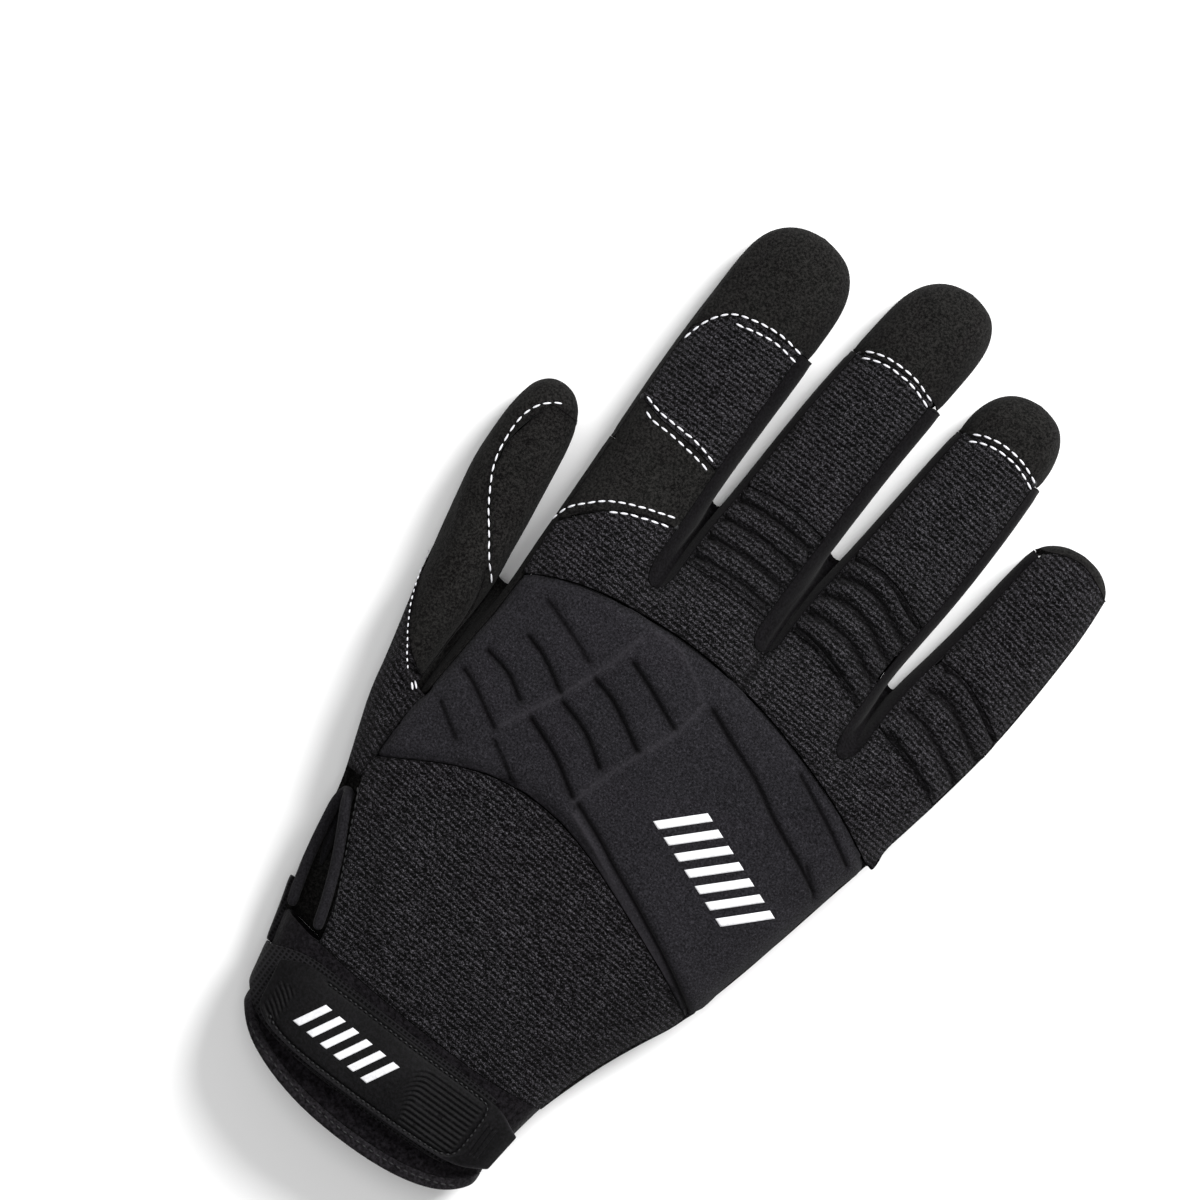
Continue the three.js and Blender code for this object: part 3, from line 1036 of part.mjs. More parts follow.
// The palm: columns from the outer edge of the thumb's ball across to the little finger's side wall,
// with a tongue into each finger front, and the thumb's columns ending at the thumb.
const strips = [
  { palm: along(THUMB_CROTCH.palm), turn: along(THUMB_CROTCH.turn) },
  ...crotches,
];
{
  const seamShare = palmShare(SEAM_BOTTOM);
  const gap = SEAM_GAP / 2;
  const ROOT_GAPS = { wall: 9, steep: 5, flat: 1 }; // clearance to the thumb's edge, in half seam gaps
  const STEEP_TO = 200; // the angle round the thumb up to which its edge is steep
  const FREE = { thumb: 2, middle: 3.2, side: 2.2, leg: 2 }; // thicknesses of cloth left free at a crotch
  const LEG_GAPS = 3.6; // seam gaps between the index finger's tongue and the thumb's inner panel
  const FIRST_THUMB_COLUMN = 7;
  const list = [{ kind: "thumb", wall: true, degrees: 183 }];
  for (let k = FIRST_THUMB_COLUMN; k <= THUMB_CELLS; k += 1) {
    list.push({ kind: "thumb", degrees: thumbColumn(k) });
  }
  list.push({ kind: "dip", crotch: 0, angle: 0 });
  fingers.forEach((finger, f) => {
    const shares = f === 3 ? [-seamShare, -0.3, 0.3] : [-seamShare, -0.27, 0.27, seamShare];
    shares.forEach((share, k) => list.push({ kind: "finger", finger, f, share, first: k === 0 }));
    if (f < 3) for (const angle of [-60, 0, 60]) list.push({ kind: "dip", crotch: f + 1, angle });
  });
  for (const inset of [4.2, 1, 0]) list.push({ kind: "side", inset });
  list.push({ kind: "side", inset: 0, wall: true });
  const sideEnd = along(0.6368);
  const crotchEnd = strips[0].palm + strips[0].turn;
  // Where a column leaves the open palm, and where it enters its finger
  const firstEnd = (c) => {
    if (c.kind === "thumb") {
      const open = c.degrees < STEEP_TO ? ROOT_GAPS.steep : ROOT_GAPS.flat;
      return thumbEdge(c.degrees) - gap * (c.wall ? ROOT_GAPS.wall : open);
    }
    return c.kind === "dip" && c.crotch === 0 ? strips[0].palm - SEAM_GAP - SUEDE * FREE.thumb : crotchEnd;
  };
  const turnY = (c) => {
    if (c.kind === "dip") {
      const { palm, turn } = strips[c.crotch];
      const free = c.angle === 0 ? FREE.middle : FREE.side;
      const back = c.crotch === 0 ? SUEDE * FREE.thumb : SIDE_CLOTH * free;
      return palm + turn * (c.angle === 0 ? -0.12 : 1 - Math.cos(rad(c.angle))) - SEAM_GAP - back;
    }
    if (c.kind === "side") return sideEnd;
    const legStart = (strip) => strip.palm + strip.turn - SIDE_CLOTH * FREE.leg;
    const left = c.f === 0 ? palmEnd(hand.left(FINGER_START)) - 3 : legStart(strips[c.f]);
    const right = c.f === 3 ? sideEnd : legStart(strips[c.f + 1]);
    return lerp(left, right, (c.share + seamShare) / (2 * seamShare));
  };
  const columnAt = (c, y) => {
    if (c.kind === "thumb") return thumbPoint(c.degrees, firstEnd(c)).x;
    if (c.kind === "side") return hand.right(y) - c.inset;
    if (c.kind === "finger") {
      const s = section(c.finger, Math.max(y, along(0.546)));
      const x = s.x + s.half * c.share;
      if (c.f > 0 || !c.first) return x;
      const end = palmEnd(hand.left(FINGER_START));
      return lerp(hand.left(y) + BOTTOM_SEAM + SEAM_GAP * LEG_GAPS, x, smooth(end - 14, end, y));
    }
    const y0 = strips[c.crotch].palm;
    if (c.crotch === 0) return (thumbPoint(THUMB_BOTTOM, y0).x + hand.left(y0) + BOTTOM_SEAM) / 2;
    const a = section(fingers[c.crotch - 1], y0);
    const b = section(fingers[c.crotch], y0);
    const from = a.x + a.half * seamShare;
    const to = b.x - b.half * seamShare;
    return (from + to) / 2 + (to - from) / 2 * Math.sin(rad(c.angle));
  };
  const rowStops = [0.2025, 0.2617, 0.2854, 0.3486, 0.4118, 0.467].map(along);
  const J1 = rowStops.length + 1;
  const J2 = 3;
  const J3 = 1;
  const xAt = (c, y, j) => {
    if (c.kind === "side") return hand.right(y) - c.inset;
    if (j > J1) return columnAt(c, y);
    const end = firstEnd(c);
    const share = (columnAt(c, end) - hand.wide(end)) / (hand.right(end) - hand.wide(end));
    return lerp(hand.wide(y), hand.right(y), share);
  };
  const place = (i, j) => {
    const c = list[i];
    const end = firstEnd(c);
    let y = end;
    let x = xAt(c, y, j);
    for (let k = 0; k < 6; k += 1) {
      if (j === 0) y = cuffSeam(x) + gap;
      else if (j < J1) y = rowStops[j - 1];
      else if (j === J1 || c.kind === "thumb") y = end;
      else if (j <= J1 + J2) y = lerp(end, turnY(c), (j - J1) / J2);
      else y = Math.max(palmEnd(x) - gap, turnY(c) + 0.5);
      x = xAt(c, y, j);
    }
    if (c.wall && c.kind === "side") {
      const reach = smooth(FINGERS_LOW, FINGERS_HIGH, y);
      return new THREE.Vector3(x, y, lerp(hand.shoulder(y), little.shoulder(y), reach) - SEAM_GAP);
    }
    if (c.wall) {
      const open = 1 - smooth(rowStops[1], rowStops[2], y);
      return new THREE.Vector3(hand.wide(y), y, lerp(PALM_SHOULDER - gap, hand.leftShoulder(y) - 0.6, open));
    }
    return new THREE.Vector3(x, y, c.inset === 0 ? PALM_SHOULDER : palmHeight(x, y));
  };
  const palmOut = (x, y) => {
    const d = 0.4;
    const inside = clamp(x, hand.wide(y) + 2 * d, hand.right(y) - 2 * d);
    const dx = (palmHeight(inside + d, y) - palmHeight(inside - d, y)) / (2 * d);
    const dy = (palmHeight(inside, y + d) - palmHeight(inside, y - d)) / (2 * d);
    return new THREE.Vector3(dx, dy, -1).normalize();
  };
  const out = (u, v, i, j) => {
    const c = list[i];
    if (c.kind === "thumb" && j === J1) return thumbOut(c.degrees, firstEnd(c));
    if (c.wall || c.inset === 0) return new THREE.Vector3(c.kind === "side" ? 1 : -1, 0, 0);
    const p = place(i, j);
    return palmOut(p.x, p.y);
  };
  const thumbCells = list.findIndex((c) => c.kind === "dip");
  sheet("palm_panel", "suede", {
    nu: list.length - 1, nv: J1 + J2 + J3, at: (u, v, i, j) => place(i, j), out, wall: SUEDE,
    keep: (i, j) => {
      if (j < J1) return true;
      if (i <= thumbCells) return false;
      if (j < J1 + J2) return true;
      return list[i].kind !== "dip" && list[i + 1].kind !== "dip";
    },
  });
}

// Round the wrist: 0 is the little finger's side, 90 degrees the back, 180 the thumb's side.
function wristPoint(degrees, y) {
  const right = hand.right(y);
  const mid = (hand.left(y) + right) / 2;
  const c = Math.cos(rad(degrees));
  const n = Math.sin(rad(degrees));
  const half = c < 0 ? mid - hand.left(y) : right - mid;
  const top = hand.top(y);
  const shoulder = c < 0 ? hand.leftShoulder(y) : hand.shoulder(y);
  const EDGE = Math.sin(rad(6));
  const x = mid + half * signedPower(c, n >= 0 ? 2 / BACK_POWER : 2 / PALM_POWER);
  const over = (k) => shoulder + (top - shoulder) * Math.pow(k, 2 / BACK_POWER);
  const under = (k) => PALM_SHOULDER - (PALM_SHOULDER - low(y)) * Math.pow(k, 2 / PALM_POWER);
  if (n > EDGE) return new THREE.Vector3(x, y, over(n));
  if (n < -EDGE) return new THREE.Vector3(x, y, under(-n));
  return new THREE.Vector3(x, y, lerp(under(EDGE), over(EDGE), (n + EDGE) / (2 * EDGE)));
}
// A band round part of the wrist between two lines along it, raised above the cuff by "proud"
function band(name, look, wall, from, to, nu, nv, lower, upper, proud, loop = false, relief = () => 0) {
  const at = (u, v) => {
    const degrees = lerp(from, to, u);
    let y = 0;
    for (let k = 0; k < 6; k += 1) {
      const x = wristPoint(degrees, y).x;
      y = lerp(lower(x), upper(x), v);
    }
    return wristPoint(degrees, y);
  };
  const out = (u, v) => {
    const p = at(u, v);
    const w = lerp(from, to, u);
    const a = wristPoint(w - 0.6, p.y);
    const b = wristPoint(w + 0.6, p.y);
    return new THREE.Vector3(b.z - a.z, 0, a.x - b.x).normalize();
  };
  const lifted = (u, v) => at(u, v).addScaledVector(out(u, v), proud + relief(u, v));
  sheet(name, look, { nu, nv, at: lifted, out, wall, loop });
}
const BINDING_WIDTH = 3.2;
const BINDING_PROUD = CUFF_LIFT;
const BAND_GAPS = 1.3; // seam gaps between the binding and the cuff
const bindingEnd = (x) => cuffEnd(x) + BINDING_WIDTH;
const bandStart = (x) => bindingEnd(x) + SEAM_GAP * BAND_GAPS;
const bandEnd = (x) => cuffSeam(x) - SEAM_GAP / 2;
const SIDE_GAP = 0.8;
band("cuff_binding", "webbing", CUFF_WEB + 2 * BINDING_PROUD, 0, 360, 36, 1, cuffEnd, bindingEnd,
  BINDING_PROUD, true);
band("cuff_back", "webbing", CUFF_WEB, 178 + SIDE_GAP, 2 - SIDE_GAP, 14, 2, bandStart, bandEnd, 0);
band("cuff_palm", "webbing", CUFF_WEB, 358 + SIDE_GAP, 182 - SIDE_GAP, 14, 2, bandStart, bandEnd, 0);

// The wrist strap lies on the cuff's back, with its moulded tab on it.
const STRAP = [
  { x: -0.3738, lower: 0.0683, upper: 0.1101 }, { x: -0.3364, lower: 0.0565, upper: 0.118 },
  { x: -0.2804, lower: 0.0454, upper: 0.1244 }, { x: -0.1869, lower: 0.0383, upper: 0.1236 },
  { x: 0, lower: 0.0359, upper: 0.1212 }, { x: 0.1869, lower: 0.0375, upper: 0.1196 },
  { x: 0.2804, lower: 0.0446, upper: 0.1157 },
];
const TAB = [
  { x: -0.3178, lower: 0.062, upper: 0.1054 }, { x: -0.2944, lower: 0.0517, upper: 0.1165 },
  { x: -0.1869, lower: 0.0422, upper: 0.1188 }, { x: 0, lower: 0.0399, upper: 0.1165 },
  { x: 0.1682, lower: 0.0415, upper: 0.1153 }, { x: 0.2336, lower: 0.0454, upper: 0.1141 },
  { x: 0.2617, lower: 0.0517, upper: 0.1094 }, { x: 0.2897, lower: 0.0604, upper: 0.0999 },
];
const acrossTable = (rows, value) => track(rows, "x", value, across, along);
const wristAngle = (x, y) => {
  let lo = 0;
  let hi = 180;
  for (let k = 0; k < 40; k += 1) {
    const m = (lo + hi) / 2;
    if (wristPoint(m, y).x > x) lo = m;
    else hi = m;
  }
  return lo;
};
const CUFF_MIDDLE = along(0.0801);
const strapLower = acrossTable(STRAP, "lower");
const cuffAngle = (share) => wristAngle(across(share), CUFF_MIDDLE);
const strapStart = (x) => Math.max(strapLower(x), bandStart(x) + SEAM_GAP);
band("wrist_strap", "webbing", STRAP_WEB, 186, cuffAngle(0.2243), 15, 2,
  strapStart, acrossTable(STRAP, "upper"), LAYER_GAP + STRAP_WEB);
const TAB_RIM = 0.7;
const rise = (width, t) => smooth(0, width, t) * smooth(0, width, 1 - t);
const tabLevel = (u, v) => TAB_RIM * rise(0.09, u) * rise(0.26, v);
band("strap_tab", "rubber", (u, v) => TAB_RUBBER - TAB_RIM + tabLevel(u, v), cuffAngle(-0.3178),
  cuffAngle(0.2897), 14, 4, acrossTable(TAB, "lower"), acrossTable(TAB, "upper"),
  2 * LAYER_GAP + STRAP_WEB + TAB_RUBBER - TAB_RIM, false, tabLevel);

// The strap's folded end, sewn to the edge of the palm beside the slit
{
  const from = along(0.1101);
  const to = along(0.1733);
  const wall = STRAP_WEB * 1.2; // folded and pressed
  const at = (u, v) => {
    const y = lerp(from, to, u);
    const x = hand.left(y) - LAYER_GAP - wall - 0.4 * Math.sin(v * Math.PI);
    return new THREE.Vector3(x, y, lerp(4.2, 12.2, v) / 31 * HAND_HEIGHT);
  };
  sheet("strap_anchor", "webbing", { nu: 6, nv: 3, at, out: () => new THREE.Vector3(-1, 0, 0), wall });
}

// Piping round the slit: up the knit's edge, round the top and down the palm's edge
{
  const radius = 1.15;
  const points = [];
  const top = along(0.2712);
  for (let k = 0; k <= 7; k += 1) {
    const y = lerp(along(0.1488), top - 2.4, k / 7);
    const slope = (slitEdge(y + 1) - slitEdge(y - 1)) / 2;
    const off = radius + SEAM_GAP;
    const x = slitEdge(y) - off * Math.sqrt(1 + slope * slope);
    points.push(new THREE.Vector3(x, y, backHeight(Math.max(x, hand.left(y) + 1), y) - 0.5));
  }
  points.push(new THREE.Vector3(hand.left(top) + 2.2, top + 0.6, 15.2 / 31 * HAND_HEIGHT));
  for (let k = 0; k <= 6; k += 1) {
    const y = lerp(top - 2.6, along(0.1512), k / 6);
    points.push(new THREE.Vector3(hand.left(y) + 0.9, y, hand.leftShoulder(y) - 0.6 + radius + SEAM_GAP));
  }
  const path = new THREE.CatmullRomCurve3(points, false, "centripetal");
  const ringShape = new THREE.Shape();
  for (let k = 0; k < 6; k += 1) {
    const a = k / 6 * 2 * Math.PI;
    if (k === 0) ringShape.moveTo(radius, 0);
    else ringShape.lineTo(radius * Math.cos(a), radius * Math.sin(a));
  }
  ringShape.closePath();
  const sweep = { extrudePath: path, steps: 20, bevelEnabled: false };
  const geometry = new THREE.ExtrudeGeometry(ringShape, sweep);
  geometry.deleteAttribute("normal");
  geometry.deleteAttribute("uv");
  addMesh("slit_binding", "cloth", mergeVertices(geometry, 1e-4));
}

// Padded overlays under the palm
function overlay(name, rows) {
  const corners = rows.map((row) => new THREE.Vector3(across(row.x), along(row.y), 0));
  const curve = new THREE.CatmullRomCurve3(corners, true, "centripetal");
  const outline = curve.getPoints(26).slice(0, -1).map((p) => new THREE.Vector2(p.x, p.y));
  const edge = 0.35;
  const geometry = new THREE.ExtrudeGeometry(new THREE.Shape(outline), {
    depth: PAD_FOAM - 2 * edge, steps: 1,
    bevelEnabled: true, bevelThickness: edge, bevelSize: edge, bevelOffset: -edge, bevelSegments: 1,
  });
  geometry.translate(0, 0, edge);
  geometry.deleteAttribute("normal");
  geometry.deleteAttribute("uv");
  addMesh(name, "overlay", mergeVertices(geometry, 1e-4));
}
overlay("palm_pad_upper", UPPER_PAD_OUTLINE);
overlay("palm_pad_lower", LOWER_PAD_OUTLINE);
overlay("palm_pad_side", SIDE_PAD_OUTLINE);

const box = new THREE.Box3().setFromObject(group);
const middlePoint = box.getCenter(new THREE.Vector3());
group.children.forEach((mesh) => mesh.geometry.translate(-middlePoint.x, -middlePoint.y, -box.min.z));

export default group;
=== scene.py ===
import json
import math

import bmesh
import bpy
import numpy as np
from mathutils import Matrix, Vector
from mathutils.bvhtree import BVHTree
from mathutils.kdtree import KDTree

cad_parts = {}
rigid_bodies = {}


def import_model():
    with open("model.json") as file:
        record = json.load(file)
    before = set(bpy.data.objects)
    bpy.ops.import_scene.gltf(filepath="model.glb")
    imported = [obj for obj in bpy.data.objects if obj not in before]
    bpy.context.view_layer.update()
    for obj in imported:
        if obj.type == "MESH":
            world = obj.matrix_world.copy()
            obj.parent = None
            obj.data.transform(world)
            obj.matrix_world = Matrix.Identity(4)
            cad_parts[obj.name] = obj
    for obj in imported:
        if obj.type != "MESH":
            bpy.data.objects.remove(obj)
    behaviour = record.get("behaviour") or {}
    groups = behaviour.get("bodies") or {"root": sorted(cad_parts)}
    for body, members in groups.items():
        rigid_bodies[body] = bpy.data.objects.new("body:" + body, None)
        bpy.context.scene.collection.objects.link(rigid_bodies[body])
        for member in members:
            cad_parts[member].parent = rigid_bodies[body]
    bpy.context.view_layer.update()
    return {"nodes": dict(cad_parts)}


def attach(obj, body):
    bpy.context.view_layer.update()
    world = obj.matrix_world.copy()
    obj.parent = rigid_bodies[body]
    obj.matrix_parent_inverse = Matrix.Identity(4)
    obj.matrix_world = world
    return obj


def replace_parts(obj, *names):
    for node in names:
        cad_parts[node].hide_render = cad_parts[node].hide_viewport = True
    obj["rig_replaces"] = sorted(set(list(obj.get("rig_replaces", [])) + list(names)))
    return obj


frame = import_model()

# The glove lies palm down, fingers towards +Y, thumb towards -X, in metres.
nodes = frame["nodes"]
MM = 0.001
WRIST_MARK = (1.65, 108.35)  # the model's origin in the hand's own millimetres, from the wrist strap's middle
random = np.random.default_rng(7)

# How each panel is cut and sewn: its cloth, how finely it is drawn and how round its cut edges are, in mm.
PANELS = [
    # node, slot, cloth, fineness, edge
    ("back_knit", "knit", "knit_back", 3, 0.5),
    ("knuckle_knit", "knit", "knit_knuckles", 2, 0.5),
    ("index_knit", "knit", "knit_index", 3, 0.45),
    ("middle_knit", "knit", "knit_middle", 3, 0.45),
    ("ring_knit", "knit", "knit_ring", 3, 0.45),
    ("little_knit", "knit", "knit_little", 3, 0.45),
    ("thumb_gusset", "knit", "knit_thumb", 2, 0.45),
    ("knuckle_pad", "neoprene", "brushed_neoprene", 3, 0.8),
    ("middle_flex_pad", "neoprene", "knit_middle", 3, 0.5),
    ("ring_flex_pad", "neoprene", "knit_ring", 3, 0.5),
    ("little_flex_pad", "neoprene", "knit_little", 3, 0.5),
    ("index_patch", "suede", "suede", 3, 0.45),
    ("index_front", "suede", "suede", 2, 0.45),
    ("middle_front", "suede", "suede", 2, 0.45),
    ("ring_front", "suede", "suede", 2, 0.45),
    ("little_front", "suede", "suede", 2, 0.45),
    ("thumb_front", "suede", "suede", 2, 0.45),
    ("thumb_inner_panel", "suede", "suede", 2, 0.45),
    ("palm_panel", "suede", "suede", 2, 0.45),
    ("index_middle_fourchette", "cloth", "stretch_cloth", 2, 0.4),
    ("middle_ring_fourchette", "cloth", "stretch_cloth", 2, 0.4),
    ("ring_little_fourchette", "cloth", "stretch_cloth", 2, 0.4),
    ("slit_binding", "cloth", "slit_binding", 3, 0),
    ("cuff_back", "webbing", "cuff_band", 3, 0.5),
    ("cuff_palm", "webbing", "cuff_band", 3, 0.5),
    ("cuff_binding", "webbing", "cuff_binding", 2, 0.8),
    ("wrist_strap", "webbing", "strap_webbing", 3, 0.45),
    ("strap_anchor", "webbing", "strap_webbing", 2, 0.4),
    ("strap_tab", "rubber", "moulded_rubber", 3, 0.5),
    ("palm_pad_upper", "overlay", "suede_overlay", 3, 0.5),
    ("palm_pad_lower", "overlay", "suede_overlay", 3, 0.5),
    ("palm_pad_side", "overlay", "suede_overlay", 3, 0.5),
]
# How far a panel's sewn edge is drawn in, in mm, where it isn't SEAM_DEPTH
SEAM_DRAW = {"knuckle_pad": 0.55, "strap_tab": 0, "slit_binding": 0, "cuff_binding": 0, "strap_anchor": 0.1,
             "palm_pad_upper": 0, "palm_pad_lower": 0, "palm_pad_side": 0, "wrist_strap": 0.1}
# Pieces that lie on others, so that their edges aren't drawn to the next panel's
LAID_ON = ("strap_tab", "wrist_strap", "slit_binding", "palm_pad_upper", "palm_pad_lower", "palm_pad_side")

SEAM_DEPTH = 0.3
SEAM_WIDTH, SEAM_SHADE = 1.3, 0.9  # how far from a seam the cloth is drawn in, and how far it is painted darker as shade, in mm
SHARP = math.radians(58)  # faces that meet more steeply than this make a cut edge
MERGE = 0.003 * MM  # points closer than this are one point
SPOT_PITCH = 0.7 * MM  # between the spots along a cut edge
QUILT_ROWS, QUILT_WIDTH, QUILT_DEPTH = (2.2, 4.6), 0.45, 0.45  # rows along the cuff's binding, in mm
OVERLAYS = ("palm_pad_upper", "palm_pad_lower", "palm_pad_side")


# ---- shaping ----
def smooth(a, b, value):
    """0 before a, 1 after b and an even change between them"""
    t = np.clip((value - a) / (b - a), 0, 1)
    return t * t * (3 - 2 * t)


def distance(x, y, line):
    """How far each point is from a line of corner points"""
    least = np.full(x.shape, 1e9)
    for (ax, ay), (bx, by) in zip(line, line[1:]):
        dx, dy = bx - ax, by - ay
        t = np.clip(((x - ax) * dx + (y - ay) * dy) / (dx * dx + dy * dy), 0, 1)
        least = np.minimum(least, np.hypot(x - ax - t * dx, y - ay - t * dy))
    return least


def rounded(line, steps=6):
    """The line with its corners turned into one smooth curve through the same points"""
    p = [np.array(q, float) for q in line]
    p = [2 * p[0] - p[1], *p, 2 * p[-1] - p[-2]]
    out = []
    for a, b, c, d in zip(p, p[1:], p[2:], p[3:]):
        for k in range(steps):
            t = k / steps
            out.append(0.5 * (2 * b + (c - a) * t + (2 * a - 5 * b + 4 * c - d) * t * t
                              + (3 * b - a - 3 * c + d) * t ** 3))
    out.append(p[-2])
    return [tuple(q) for q in out]


# Grooves welded into the knuckle pad: line, width and depth in mm
PAD_GROOVES = [
    # middle blocks
    ([(-10, 115), (-5, 113.2), (7, 108)], 0.6, 1.16),
    ([(-15, 106.5), (-8, 104.5), (3, 98.5)], 0.6, 1.3),
    ([(-18, 97.5), (-10, 95), (-2, 90)], 0.6, 1.3),
    ([(-22, 90), (-12, 86), (-3, 80.5)], 0.6, 1.3),
    # thumb side blocks
    ([(-35, 115), (-25, 111.5), (-19, 109)], 0.6, 0.87),
    ([(-34, 105.5), (-28, 103.5), (-20, 99)], 0.6, 1.16),
    ([(-40, 97), (-33, 95.5), (-27, 92)], 0.6, 1.16),
    ([(-42, 90), (-38, 88.5), (-28, 83)], 0.6, 1.01),
    ([(-42, 80.5), (-34, 75.5)], 0.6, 0.87),
    ([(-26, 80.5), (-17, 75)], 0.6, 0.87),
    # along the lower edge
    ([(-1, 80), (8, 76.2), (15, 72.7), (25, 68.2), (38, 61.7), (50, 55)], 0.6, 1.3),
    # little finger side blocks
    ([(12, 117), (20, 113.5), (30, 109.5), (40, 104), (50, 99.5), (57, 96)], 0.6, 1.16),
    ([(38, 117), (50, 111), (60, 105.5)], 0.6, 1.01),
    ([(52, 100), (58, 95)], 0.6, 0.87),
]
PAD_RIDGES = [
    ([(-12, 121), (-14, 113), (-16.5, 106), (-20, 97.5), (-24, 90), (-27, 84)], 0.4, 0.3),
    ([(9.5, 117), (8, 108), (4, 98), (0, 88), (-2, 80)], 0.4, 0.3),
    ([(-10, 124), (-3, 124), (5, 120), (8, 117)], 0.4, 0.22),
    ([(0, 77.5), (8, 74), (15, 70.5), (25, 66), (38, 59.5), (48, 53)], 0.7, 0.35),
]
# Folds of the loose knit on the back of the hand
BACK_FOLDS = [
    ([(46, 60), (40, 48), (33, 38)], 2.2, 0.5),
    ([(42, 44), (34, 32), (26, 26)], 2.0, 0.45),
    ([(36, 30), (26, 22), (10, 19)], 1.8, 0.4),
    ([(-36, 48), (-30, 38), (-27, 28)], 1.8, 0.35),
    ([(-28, 26), (-16, 20), (0, 18.5)], 1.6, 0.35),
]
MIDDLE_FLEX = [[(-15.5, y), (-10, y + 1.2), (-2, y + 1.8), (6, y + 1.2), (12, y + 0.2)]
               for y in (166.4, 160.8, 155.2, 149.6, 144)]
RING_FLEX = [
    [(16.5, 166), (20, 167.5), (25, 168), (30, 167), (35, 164.5), (40, 162.5)],
    [(16.6, 160.5), (21, 162), (26, 162.3), (31, 161), (36, 158.5), (40.5, 156.8)],
    [(16.7, 155), (21, 156.3), (26, 156.4), (31, 155), (36, 152.5), (41, 150.8)],
    [(16.8, 149.5), (21, 150.3), (26, 150), (31, 148.8), (36, 146.5), (41, 144.6)],
    [(17, 144), (22, 144.2), (28, 143), (33, 141.2), (39, 138.5)],
]
LITTLE_FLEX = [
    [(51.5, 158), (55, 159), (60, 157.5), (65, 155), (72, 151)],
    [(51, 151.5), (55, 152), (60, 150.3), (65, 147.5), (71.5, 144)],
    [(50, 144.5), (55, 144), (60, 142), (65, 139.3), (70.5, 136.5)],
    [(49.5, 137), (55, 135.5), (60, 133.4), (65, 131)],
]
TAB_BORDER = [(-31, -3.6), (-28, -5.2), (-20, -6.6), (0, -7.1), (18, -6.8), (22.6, -6), (24.4, -4.2), (24.9, 0),
              (25, 6), (24.2, 8.6), (21, 9.7), (0, 10.1), (-24, 10.6)]
FLEX_GROOVES = [(line, 0.75, 1.35) for line in MIDDLE_FLEX + RING_FLEX + LITTLE_FLEX]


def pressed(x, y, lines):
    """How deep the cloth is pressed along the lines, in mm: a narrow fold in a wide soft hollow"""
    depth = np.zeros(x.shape)
    for line, width, amount in lines:
        d = distance(x, y, rounded(line) if len(line) > 2 else line)
        fold, around = np.exp(-(d / width) ** 2), np.exp(-(d / width / 3) ** 2)
        depth = np.maximum(depth, amount * (0.7 * fold + 0.3 * around))
    return depth


def sway(x, y, z):
    """Slack of the whole glove, the same for all panels, so that their seams stay together"""
    lift = smooth(5, 18, z)
    wave = (0.32 * np.sin(x / 9.5 + y / 15 + 0.6) + 0.28 * np.sin(x / 6.1 - y / 11 + 2.0)
            + 0.18 * np.sin(x / 4.3 + y / 5.2) + 0.12 * np.sin(y / 3.1 - x / 7.7 + 1.1))
    return wave * lift


